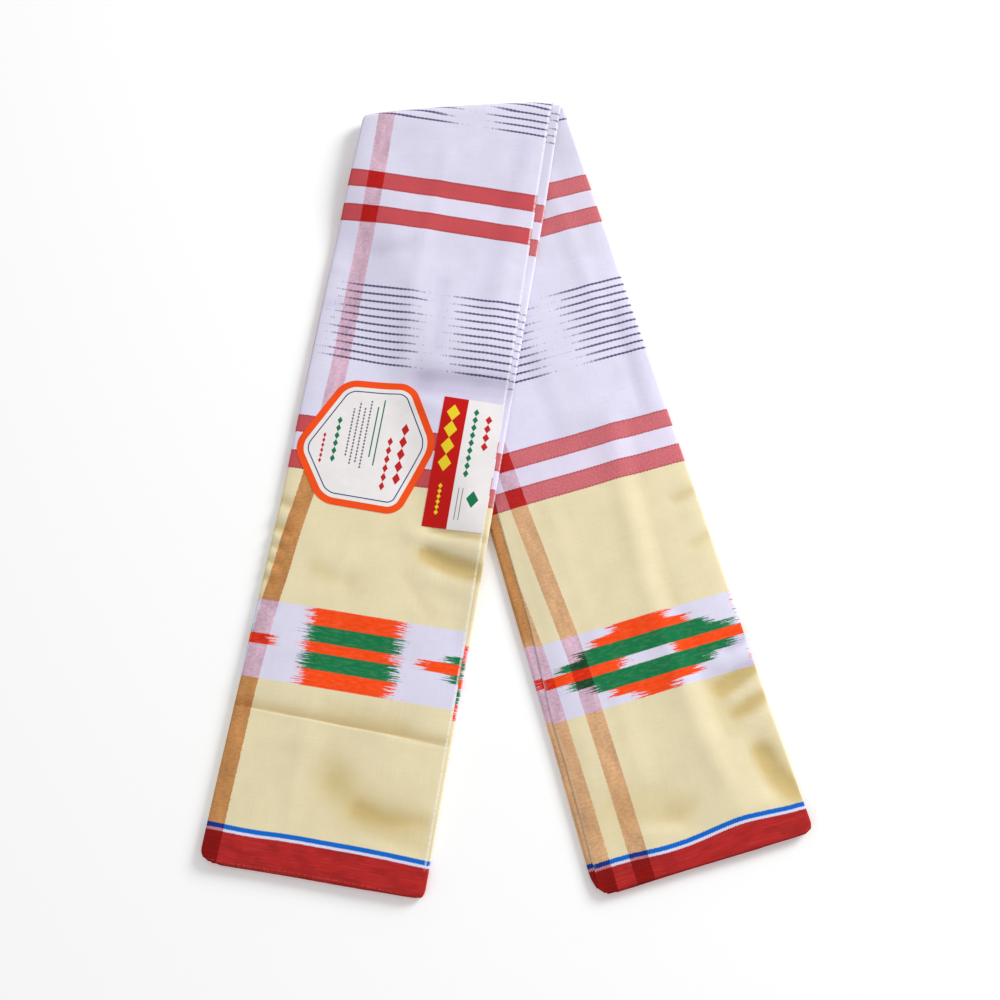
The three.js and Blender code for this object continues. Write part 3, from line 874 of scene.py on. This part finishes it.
cross_colour = weave.blend(weave.times(on_lemon, pale_stripe), cross_colour, TAN_LIGHT)
colour = weave.blend(stripe, warp_colour, cross_colour)

# The red bands are heathered: a red warp over a light weft, with darker toothed edges.
HEATHER_SOFT = 0.1
RED_EDGE = 1.1
heather = weave.plus(0.40, weave.times(weave.soft_step(yarn_noise(1.0, 1.25, 3.0, 0.6), 0.42, 0.68), 0.60))
on_reds = weave.plus(weave.window(band_y, LOW_REDS[0][0], LOW_REDS[1][1], HEATHER_SOFT),
                     weave.window(band_y, HIGH_REDS[0][0], HIGH_REDS[1][1], HEATHER_SOFT))
light_part = weave.times(weave.plus(0.10, weave.times(is_inner, 0.22)),
                         weave.minus(1.0, weave.times(stripe, 0.92)))
colour = weave.blend(weave.times(heather, on_reds, light_part), colour, HEATHER_LIGHT, "LIGHTEN")
teeth = weave.soft_step(weave.math("SINE", weave.times(cloth_x, 2.4)), -0.6, 0.6)
for low, high in LOW_REDS + HIGH_REDS:
    edge = weave.minus(weave.window(band_y, low, high, BAND_SOFT),
                       weave.window(band_y, low + RED_EDGE, high - RED_EDGE, 0.4))
    colour = weave.blend(weave.times(edge, teeth, 0.6), colour, TOOTH_RED)

# The crossing yarns of a stripe show as grain and short streaks.
grain = weave.plus(weave.swing(yarn_noise(0.34, 0.62, 4.0, 0.7), 0.75),
                   weave.swing(yarn_noise(0.11, 0.045), 0.55))
colour = weave.shaded(colour, weave.plus(1.0, weave.times(grain, stripe)))

# Rows of navy dashes, dyed in lengths along the weft so that they fade at their ends. One
# group of rows crosses each arm, and another lies on the bend. FIRST and SECOND say where
# each row's two lengths start and end across the cloth.
DASH_PITCH = 6.06
DASH_LOW, DASH_HIGH = 382.9, 443.5
TOP_DASH = 587.7
UPPER_FROM = 500.0
FIRST_DASH = (-3.0, 58.0)
SECOND_DASH = (78.0, 156.0)
START_LUCK = 9.0
END_LUCK = 12.0
DASH_SOFT = 0.16
upper = weave.math("GREATER_THAN", hem_y, UPPER_FROM)
dash_start = weave.plus(DASH_LOW, weave.times(upper, TOP_DASH - DASH_LOW))
dash_row = weave.math("DIVIDE", weave.minus(hem_y, dash_start), DASH_PITCH)
dash_number = weave.math("ROUND", dash_row)
dash_off = weave.times(weave.math("ABSOLUTE", weave.minus(dash_row, dash_number)), DASH_PITCH)
in_rows = weave.plus(weave.window(hem_y, DASH_LOW - 2, DASH_HIGH + 2, 0.1),
                     weave.soft_step(hem_y, TOP_DASH - 2.1, TOP_DASH - 2.0))
start_luck = weave.times(weave.chance(weave.plus(dash_number, 3.3)), START_LUCK)
end_luck = weave.times(weave.chance(weave.plus(dash_number, 11.7)), END_LUCK)
in_first = weave.math("MINIMUM", weave.plus(weft_x, weave.plus(-FIRST_DASH[0], start_luck)),
                      weave.minus(weave.plus(FIRST_DASH[1], end_luck), weft_x))
in_second = weave.math("MINIMUM", weave.minus(weft_x, weave.plus(SECOND_DASH[0], start_luck)),
                       weave.minus(SECOND_DASH[1], weft_x))
dash_reach = weave.math("MAXIMUM", in_first, in_second)
dash_part = weave.soft_step(dash_reach, -4.0, 22.0)


def dash_wave(turn, row_shift):
    """A wave along a dash row that is out of step with the rows beside it."""
    return weave.math("SINE", weave.plus(weave.times(cloth_x, turn), weave.times(dash_number, row_shift)))


beads = weave.noise(weave.times(cloth_x, 0.42), weave.times(dash_number, 7.3), 1.0)
beads = weave.plus(beads, weave.times(dash_wave(3.1, 1.7), 0.14))
beads_on = weave.times(weave.soft_step(weave.plus(beads, weave.times(dash_part, 0.75)), 0.58, 0.74),
                       weave.soft_step(dash_reach, -9.0, -2.0))
dash_half = weave.plus(weave.plus(0.50, weave.times(dash_part, 0.30)),
                       weave.times(dash_wave(2.02, 2.4), 0.20))
dash_line = weave.soft_step(dash_off, weave.plus(dash_half, DASH_SOFT), weave.minus(dash_half, DASH_SOFT))
dash_ink = weave.plus(0.38, weave.times(dash_part, 0.52))
colour = weave.blend(weave.times(dash_line, in_rows, beads_on, dash_ink), colour, NAVY)

# The ikat band: blocks and stepped diamonds of orange and green rows, with feathered ends
# where the dye ran along the bound yarns. A diamond's steps are a height in the band and
# half its width from there up, and its middle row has a bare gap.
ROWS = [(0.0, ORANGE), (11.7, GREEN), (23.6, ORANGE), (31.1, GREEN), (42.8, ORANGE)]
MIDDLE_ROW = (23.6, 31.1)
DIAMOND_STEPS = [(0.0, 14.5), (5.9, 33), (11.7, 45), (17.6, 62), (23.6, 83), (31.1, 64), (36.8, 49),
                 (42.8, 35), (48.8, 20.5)]
DIAMOND_GAP = 19.0
BLOCK_HALF = 33.5
MOTIFS = [("diamond", -67.0), ("block", 72.5), ("diamond", 206.0),
          ("diamond", INNER_X + 82.0), ("block", INNER_X + 190.0)]
CROSSED_INK = dye(222, 150, 150)
THIN_INK = dye(236, 216, 190)
THICK_INK = dye(190, 190, 190)

# The under arm's outer side shows only the tip of the diamond that turns the left fold.
UNDER_SHIFT = 18.0
motif_x = weave.plus(cloth_x, weave.times(under_half, is_outer, UNDER_SHIFT))
feather = weave.plus(weave.swing(yarn_noise(0.045, 1.3, 2.0, 0.7), 30.0),
                     weave.swing(yarn_noise(0.3, 1.7, 2.0, 0.6), 12.0))
up_ikat = weave.minus(band_y, IKAT_LOW)
row_colour = ROWS[0][1]
for start, ink in ROWS[1:]:
    past = weave.soft_step(up_ikat, start - BAND_SOFT, start + BAND_SOFT)
    row_colour = weave.blend(past, row_colour, ink)
diamond_half = DIAMOND_STEPS[0][1]
for (start, half), (_, half_below) in zip(DIAMOND_STEPS[1:], DIAMOND_STEPS):
    past = weave.soft_step(up_ikat, start - BAND_SOFT, start + BAND_SOFT)
    diamond_half = weave.plus(diamond_half, weave.times(past, half - half_below))
middle_row = weave.window(up_ikat, *MIDDLE_ROW, BAND_SOFT)
motif = 0.0
for kind, centre in MOTIFS:
    off = weave.math("ABSOLUTE", weave.minus(motif_x, centre))
    half = diamond_half if kind == "diamond" else BLOCK_HALF
    inked = weave.soft_step(weave.plus(weave.minus(half, off), feather), -2.6, 2.0)
    if kind == "diamond":
        gap = weave.soft_step(weave.plus(weave.minus(DIAMOND_GAP, off), feather), -0.7, 0.7)
        inked = weave.times(inked, weave.minus(1.0, weave.times(gap, middle_row)))
    motif = weave.math("MAXIMUM", motif, inked)
motif = weave.times(motif, weave.window(up_ikat, 0.0, IKAT_HIGH - IKAT_LOW, BAND_SOFT))
row_colour = weave.dyed(stripe, row_colour, CROSSED_INK)
blotch = yarn_noise(0.16, 0.5, 3.0, 0.6)
row_colour = weave.blend(weave.times(weave.soft_step(blotch, 0.45, 0.75), 0.05), row_colour, THIN_INK)
row_colour = weave.dyed(weave.times(weave.soft_step(blotch, 0.52, 0.25), 0.20), row_colour, THICK_INK)
colour = weave.blend(motif, colour, row_colour)

# The red border is uneven: streaks along its warp, worn patches, and a duller hem.
STREAK_RED = dye(206, 66, 70)
WORN_RED = dye(138, 26, 26)
HEM_RED = dye(118, 18, 16)
in_border = weave.soft_step(hem_y, 28.0, 26.5)
streaks = weave.times(weave.soft_step(yarn_noise(0.045, 0.85, 3.0, 0.6), 0.46, 0.68), in_border,
                      weave.minus(1.0, weave.times(stripe, 0.8)))
colour = weave.blend(weave.times(streaks, 0.30), colour, STREAK_RED)
worn = weave.times(weave.soft_step(yarn_noise(0.05, 0.12, 3.0, 0.6), 0.42, 0.68), in_border)
colour = weave.blend(weave.times(worn, 0.42), colour, WORN_RED)
colour = weave.blend(weave.times(weave.soft_step(hem_y, 6.0, 1.0), 0.4), colour, HEM_RED)

# Uneven yarn: slubs along both threads, and soft clouding.
slubs = weave.plus(weave.times(yarn_noise(0.06, 2.1), 0.11), weave.times(yarn_noise(2.1, 0.05), 0.11))
shade = weave.plus(slubs, weave.times(yarn_noise(0.035, 0.035, 3.0), 0.16))
colour = weave.shaded(colour, weave.plus(0.81, shade))

# Painted shade: dents are darkened in colour by their depth. Above the line pressed across the over arm
# a band of painted shade fades up the arm, and towards the bend painted grey shade darkens the cloth, most
# of all on the inner side.
LAVENDER_DENT_SHADE = dye(224, 220, 228)
LEMON_DENT_SHADE = dye(222, 205, 158)
PRESS_SHADE = dye(214, 198, 168)
BEND_SHADE = dye(238, 238, 236)
PRESS_LINE = 112.2
PRESS_LEAN = 0.024
PRESS_FADE = 12.0
# Painted shade in the dents, darker where they are deeper.
dent_depth = weave.add("ShaderNodeAttribute", attribute_name="hollow").outputs["Fac"]
dent_shade_tint = weave.blend(on_lemon, LAVENDER_DENT_SHADE, LEMON_DENT_SHADE)
colour = weave.dyed(weave.times(dent_depth, 0.85), colour, dent_shade_tint)
# Painted shade in a band just above the pressed line, fading up the arm.
past_line = weave.minus(hem_y, weave.minus(PRESS_LINE, weave.times(cloth_x, PRESS_LEAN)))
press_shade = weave.times(weave.soft_step(past_line, -0.3, 0.3), weave.soft_step(past_line, PRESS_FADE, 0.0))
colour = weave.dyed(weave.times(press_shade, over_half, is_outer, 0.5), colour, PRESS_SHADE)
# Painted grey shade towards the bend, stronger on the inner side.
bend_shade = weave.times(weave.soft_step(hem_y, 430.0, 600.0), weave.plus(0.35, weave.times(is_inner, 0.65)))
colour = weave.dyed(bend_shade, colour, BEND_SHADE)

# Free edges and the right fold get a painted highlight where they catch the light, partly rubbed wear too,
# most of all on the over arm.
EDGE_HIGHLIGHT_AND_WEAR = dye(252, 250, 246)
RIM_OUT, RIM_IN = 1.0, 0.4
edge_run = weave.add("ShaderNodeAttribute", attribute_name="rim").outputs["Fac"]
edge_highlight_noise = weave.noise(weave.times(cloth_y, 0.45), 3.0, 2.0, 0.6)
edge_highlight_and_wear = weave.times(weave.soft_step(edge_run, RIM_OUT, RIM_IN), weave.soft_step(edge_highlight_noise, 0.2, 0.62),
                     weave.soft_step(hem_y, 24.0, 34.0), weave.plus(weave.times(over_half, 0.50), 0.08))
colour = weave.blend(edge_highlight_and_wear, colour, EDGE_HIGHLIGHT_AND_WEAR)

# The selvedge thread near the hem shows as dots.
SELVEDGE_THREAD = dye(222, 150, 140)
THREAD_LOW, THREAD_HIGH = 7.6, 8.2
dots = weave.soft_step(weave.noise(weave.times(cloth_x, 0.5), 0.0, 0.0), 0.45, 0.55)
thread = weave.times(weave.window(hem_y, THREAD_LOW, THREAD_HIGH, 0.12), dots)
colour = weave.blend(weave.times(thread, 0.16), colour, SELVEDGE_THREAD)

# Plain weave: two threads in each 0.9 mm, over and under, with a soft nap.
THREAD_TURN = 2 * math.pi / 0.9
over_under = weave.times(weave.math("SINE", weave.times(cloth_x, THREAD_TURN)),
                         weave.math("SINE", weave.times(cloth_y, THREAD_TURN)))
nap = yarn_noise(2.6, 2.6, 3.0)
threads = weave.add("ShaderNodeBump")
threads.inputs["Strength"].default_value = 0.22
threads.inputs["Distance"].default_value = 0.00025
weave.feed(threads.inputs["Height"], weave.plus(weave.times(over_under, 0.35), nap))

skin = weave.add("ShaderNodeBsdfPrincipled")
weave.feed(skin.inputs["Base Color"], colour)
weave.feed(skin.inputs["Normal"], threads.outputs[0])
weave.feed(skin.inputs["Roughness"], weave.plus(0.74, weave.times(nap, 0.2)))
skin.inputs["Specular IOR Level"].default_value = 0.15
skin.inputs["Sheen Weight"].default_value = 0.05
skin.inputs["Sheen Roughness"].default_value = 0.5
surface = weave.add("ShaderNodeOutputMaterial")
weave.feed(surface.inputs["Surface"], skin.outputs[0])
cloth_mesh.materials.append(cotton)

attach(cloth, "root")
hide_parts("over_arm_top_leaf", "over_arm_under_leaves", "turnover", "under_arm_top_leaf",
            "under_arm_under_leaves")

# The six-sided label: a coated paper sticker on the over arm's top leaf. Its orange rim,
# bare paper ring and navy line are printed as rings of one sheet, round a cream field with
# rows of lozenges and plain rules.
HEXAGON_CORNERS = [(28.4, 363.6), (0.2, 306.4), (27.2, 266.0), (86.8, 265.3), (106.4, 322.6),
                   (80.9, 367.2)]
LABEL_CORNER_CUT = 10.0
LABEL_CORNER_STEPS = 7
LABEL_RINGS = [5.2, 3.0, 0.9]
HEXAGON_MIDDLE, HEXAGON_REACH = (53.5, 315.0), (54.0, 54.0)
PAPER_T = 0.22
PAPER_CLEAR = 0.08
CUT_STEP = 4.0
START_Z = 40.0
PRINT_SOFT = 0.08


def paper(name, colour, roughness, marks=()):
    """Coated paper in one colour, with printed rules and rows of lozenges. A mark has its
    ink, its place across the arm, half width, lower and upper end, and lozenge length."""
    material = bpy.data.materials.new(name)
    material.use_nodes = True
    nodes = Nodes(material)
    skin = material.node_tree.nodes["Principled BSDF"]
    where = nodes.add("ShaderNodeTexCoord")
    grain = nodes.add("ShaderNodeTexNoise")
    nodes.feed(grain.inputs["Vector"], where.outputs["Object"])
    grain.inputs["Scale"].default_value = 900.0
    grain.inputs["Detail"].default_value = 4.0
    cloudy = nodes.add("ShaderNodeTexNoise")
    nodes.feed(cloudy.inputs["Vector"], where.outputs["Object"])
    cloudy.inputs["Scale"].default_value = 60.0
    tone = nodes.plus(nodes.times(grain.outputs[0], 0.05), nodes.times(cloudy.outputs[0], 0.07))
    dark = tuple(value * 0.9 for value in colour[:3]) + (1.0,)
    shade = nodes.blend(nodes.soft_step(tone, 0.03, 0.09), dark, colour)
    across, along = [nodes.add("ShaderNodeVectorMath", operation="DOT_PRODUCT") for _ in range(2)]
    for dot, direction in ((across, over.across), (along, over.along)):
        nodes.feed(dot.inputs[0], where.outputs["Object"])
        dot.inputs[1].default_value = (*(direction / MM), 0)
    mark_u = nodes.plus(across.outputs["Value"], float(PACKET_W / 2 - over.hem @ over.across))
    mark_s = nodes.plus(along.outputs["Value"], float(-over.hem @ over.along))
    for ink, place, half, low, high, lozenge in marks:
        off = nodes.math("ABSOLUTE", nodes.minus(mark_u, place))
        reach = half
        if lozenge:
            taper = nodes.math("PINGPONG", nodes.minus(mark_s, low), lozenge / 2)
            reach = nodes.times(taper, 2 * half / lozenge)
        mark = nodes.soft_step(nodes.minus(reach, off), -PRINT_SOFT, PRINT_SOFT)
        mark = nodes.times(mark, nodes.window(mark_s, low, high, PRINT_SOFT))
        shade = nodes.blend(mark, shade, ink)
    nodes.feed(skin.inputs["Base Color"], shade)
    skin.inputs["Roughness"].default_value = roughness
    skin.inputs["Specular IOR Level"].default_value = 0.2
    tooth = nodes.add("ShaderNodeBump")
    tooth.inputs["Strength"].default_value = 0.08
    tooth.inputs["Distance"].default_value = 0.0003
    nodes.feed(tooth.inputs["Height"], grain.outputs[0])
    nodes.feed(skin.inputs["Normal"], tooth.outputs[0])
    return material


CREAM = dye(248, 243, 243)
PRINT_RED = dye(196, 30, 34)
PRINT_GREEN = dye(20, 120, 80)
PRINT_GREY = dye(120, 118, 128)
HEXAGON_INKS = [
    ("orange_ink", dye(255, 82, 18), 0.45),
    ("bare_paper", dye(244, 242, 240), 0.5),
    ("navy_ink", dye(60, 76, 128), 0.45),
]
HEXAGON_MARKS = [
    (PRINT_RED, 80.5, 3.0, 288, 336, 9.6),
    (PRINT_RED, 71.0, 2.1, 282, 324, 7.0),
    (PRINT_GREEN, 61.5, 0.5, 300, 352, 0),
    (PRINT_GREEN, 57.5, 0.5, 306, 346, 0),
    (PRINT_GREY, 52.0, 0.9, 296, 350, 2.6),
    (PRINT_GREY, 48.0, 0.9, 300, 344, 2.6),
    (PRINT_GREY, 44.0, 0.9, 298, 348, 2.6),
    (PRINT_GREY, 40.0, 0.9, 304, 342, 2.6),
    (PRINT_GREEN, 31.0, 1.9, 298, 334, 6.0),
    (PRINT_RED, 22.0, 1.2, 296, 320, 4.0),
]


def over_place(u, s):
    """A place above the over arm, where a label's flat sheet starts."""
    return (*(over.plan(np.array(float(u)), np.array(float(s))) * MM), START_Z * MM)


def cut_sheet(at, normal):
    bpy.ops.mesh.select_all(action="SELECT")
    bpy.ops.mesh.bisect(plane_co=at, plane_no=(*normal, 0))


def cut_grid(centre_u, centre_s, reach_u, reach_s):
    """Cuts a sheet along and across the arm, so that it can follow the cloth."""
    for offset in np.arange(-reach_u, reach_u + CUT_STEP, CUT_STEP):
        cut_sheet(over_place(centre_u + offset, centre_s), over.across)
    for offset in np.arange(-reach_s, reach_s + CUT_STEP, CUT_STEP):
        cut_sheet(over_place(centre_u, centre_s + offset), over.along)


def face_up(piece):
    """Ends the edit of a flat sheet, with all of its faces up."""
    bpy.ops.mesh.select_all(action="SELECT")
    bpy.ops.mesh.normals_make_consistent(inside=False)
    bpy.ops.object.mode_set(mode="OBJECT")
    if piece.data.polygons[0].normal.z < 0:
        piece.data.flip_normals()


def lay_on_cloth(piece):
    """Drops a flat sheet onto the cloth and gives it its thickness."""
    wrap = piece.modifiers.new("lay", "SHRINKWRAP")
    wrap.wrap_method = "PROJECT"
    wrap.use_project_z = True
    wrap.use_negative_direction = True
    wrap.use_positive_direction = False
    wrap.target = cloth
    wrap.offset = PAPER_CLEAR * MM
    wall = piece.modifiers.new("paper", "SOLIDIFY")
    wall.thickness = PAPER_T * MM
    wall.offset = 1.0
    for modifier in ("lay", "paper"):
        bpy.ops.object.modifier_apply(modifier=modifier)
    bpy.ops.object.shade_smooth_by_angle(angle=math.radians(40))


bpy.ops.object.select_all(action="DESELECT")
bpy.ops.mesh.primitive_circle_add(vertices=6, radius=0.05, fill_type="NGON")
hexagon = bpy.context.object
hexagon.name = "hexagon_sticker"
for vertex, corner in zip(hexagon.data.vertices, HEXAGON_CORNERS):
    vertex.co = over_place(*corner)
for name, ink, roughness in HEXAGON_INKS:
    hexagon.data.materials.append(paper(name, ink, roughness))
hexagon.data.materials.append(paper("cream_field", CREAM, 0.48, HEXAGON_MARKS))
bpy.ops.object.mode_set(mode="EDIT")
bpy.ops.mesh.select_all(action="SELECT")
bpy.ops.mesh.bevel(offset=LABEL_CORNER_CUT * MM, segments=LABEL_CORNER_STEPS, affect="VERTICES")
bpy.ops.mesh.select_mode(type="FACE")
bpy.ops.mesh.select_all(action="SELECT")
for ring, width in enumerate(LABEL_RINGS):
    bpy.ops.mesh.inset(thickness=width * MM, depth=0)
    hexagon.active_material_index = ring + 1
    bpy.ops.object.material_slot_assign()
cut_grid(*HEXAGON_MIDDLE, *HEXAGON_REACH)
face_up(hexagon)
lay_on_cloth(hexagon)
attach(hexagon, "root")
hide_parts("hexagon_label")

# The band label: a coated paper strip beside the six-sided one, printed red along its left
# side and cream on its right, with rows of lozenges. It is stuck flat on the top leaf.
BAND_LABEL = {"left": 105.4, "right": 150.4, "low": 260.6, "high": 360.4, "red_to": 123.8}
BAND_MIDDLE, BAND_REACH = (127.0, 311.0), (26.0, 54.0)
PRINT_YELLOW = dye(240, 214, 40)
RED_MARKS = [
    (PRINT_YELLOW, 114.0, 5.0, 303, 355, 13.0),
    (PRINT_YELLOW, 114.0, 1.6, 270, 294, 4.0),
]
CREAM_MARKS = [
    (PRINT_GREEN, 131.0, 2.1, 300, 354, 6.0),
    (PRINT_RED, 141.0, 2.6, 322, 350, 7.0),
    (PRINT_GREEN, 139.0, 4.6, 278, 291, 13.0),
    (PRINT_GREY, 131.0, 0.3, 268, 292, 0),
    (PRINT_GREY, 128.0, 0.3, 268, 292, 0),
]

bpy.ops.object.select_all(action="DESELECT")
bpy.ops.mesh.primitive_plane_add(size=0.1)
band = bpy.context.object
band.name = "band_sticker"
band_corners = [("left", "low"), ("right", "low"), ("left", "high"), ("right", "high")]
for vertex, (side, end) in zip(band.data.vertices, band_corners):
    vertex.co = over_place(BAND_LABEL[side], BAND_LABEL[end])
band.data.materials.append(paper("red_ink", dye(204, 14, 6), 0.45, RED_MARKS))
band.data.materials.append(paper("cream_strip", CREAM, 0.48, CREAM_MARKS))
bpy.ops.object.mode_set(mode="EDIT")
cut_sheet(over_place(BAND_LABEL["red_to"], BAND_LABEL["low"]), over.across)
cut_grid(*BAND_MIDDLE, *BAND_REACH)
face_up(band)
for face in band.data.polygons:
    across = (np.array(face.center[:2]) / MM - over.hem) @ over.across + PACKET_W / 2
    face.material_index = int(across > BAND_LABEL["red_to"])
lay_on_cloth(band)
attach(band, "root")
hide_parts("band_label")

# The surface it lies on: a plain pale floor, level with the packet's flat underside.
FLOOR_HALF = 3.0
FLOOR_DROP = 0.0002
bpy.ops.object.select_all(action="DESELECT")
bpy.ops.mesh.primitive_plane_add(size=2 * FLOOR_HALF, location=(0, 0, -FLOOR_DROP))
floor = bpy.context.object
floor.name = "floor"
bpy.ops.object.transform_apply(location=True, rotation=True, scale=True)
floor_paint = bpy.data.materials.new("floor_paint")
floor_paint.use_nodes = True
floor_skin = floor_paint.node_tree.nodes["Principled BSDF"]
floor_skin.inputs["Base Color"].default_value = dye(254, 254, 254)
floor_skin.inputs["Roughness"].default_value = 0.9
floor_skin.inputs["Specular IOR Level"].default_value = 0.1
floor_skin.inputs["Emission Color"].default_value = (1.0, 1.0, 1.0, 1.0)
floor_skin.inputs["Emission Strength"].default_value = 0.08
floor.data.materials.append(floor_paint)

# Soft studio light: an even white room, a large lamp at the right beyond the bend, so that
# the folds shade towards the hems, and a weak lamp on the other side.
ROOM_LIGHT = 0.50
LAMPS = [
    ("window", (1.8, 1.35, 1.27), 1.05, 56.0),
    ("fill", (-1.6, -1.5, 2.0), 2.0, 10.0),
]
room = bpy.data.worlds.new("studio")
bpy.context.scene.world = room
room.use_nodes = True
room.node_tree.nodes["Background"].inputs[0].default_value = (1.0, 1.0, 1.0, 1.0)
room.node_tree.nodes["Background"].inputs[1].default_value = ROOM_LIGHT
for name, place, size, power in LAMPS:
    lamp = bpy.data.lights.new(name, "AREA")
    lamp.shape = "SQUARE"
    lamp.size = size
    lamp.energy = power
    lamp_object = bpy.data.objects.new(name, lamp)
    lamp_object.location = place
    bpy.context.collection.objects.link(lamp_object)
    aim = -np.array(place)
    lamp_object.rotation_euler = (math.atan2(math.hypot(aim[0], aim[1]), -aim[2]), 0,
                                  math.atan2(aim[1], aim[0]) - math.pi / 2)
bpy.context.scene.view_settings.view_transform = "Standard"

# The camera looks down on the packet from the hem side, tilted a little.
CAMERA_PLACE = (-0.0046, -0.3100, 0.9852)
CAMERA_TILT = math.radians(16.3)
camera_data = bpy.data.cameras.new("camera")
camera_data.lens = 50.0
camera_data.sensor_width = 36.0
camera = bpy.data.objects.new("camera", camera_data)
camera.location = CAMERA_PLACE
camera.rotation_euler = (CAMERA_TILT, 0, 0)
bpy.context.collection.objects.link(camera)
bpy.context.scene.camera = camera
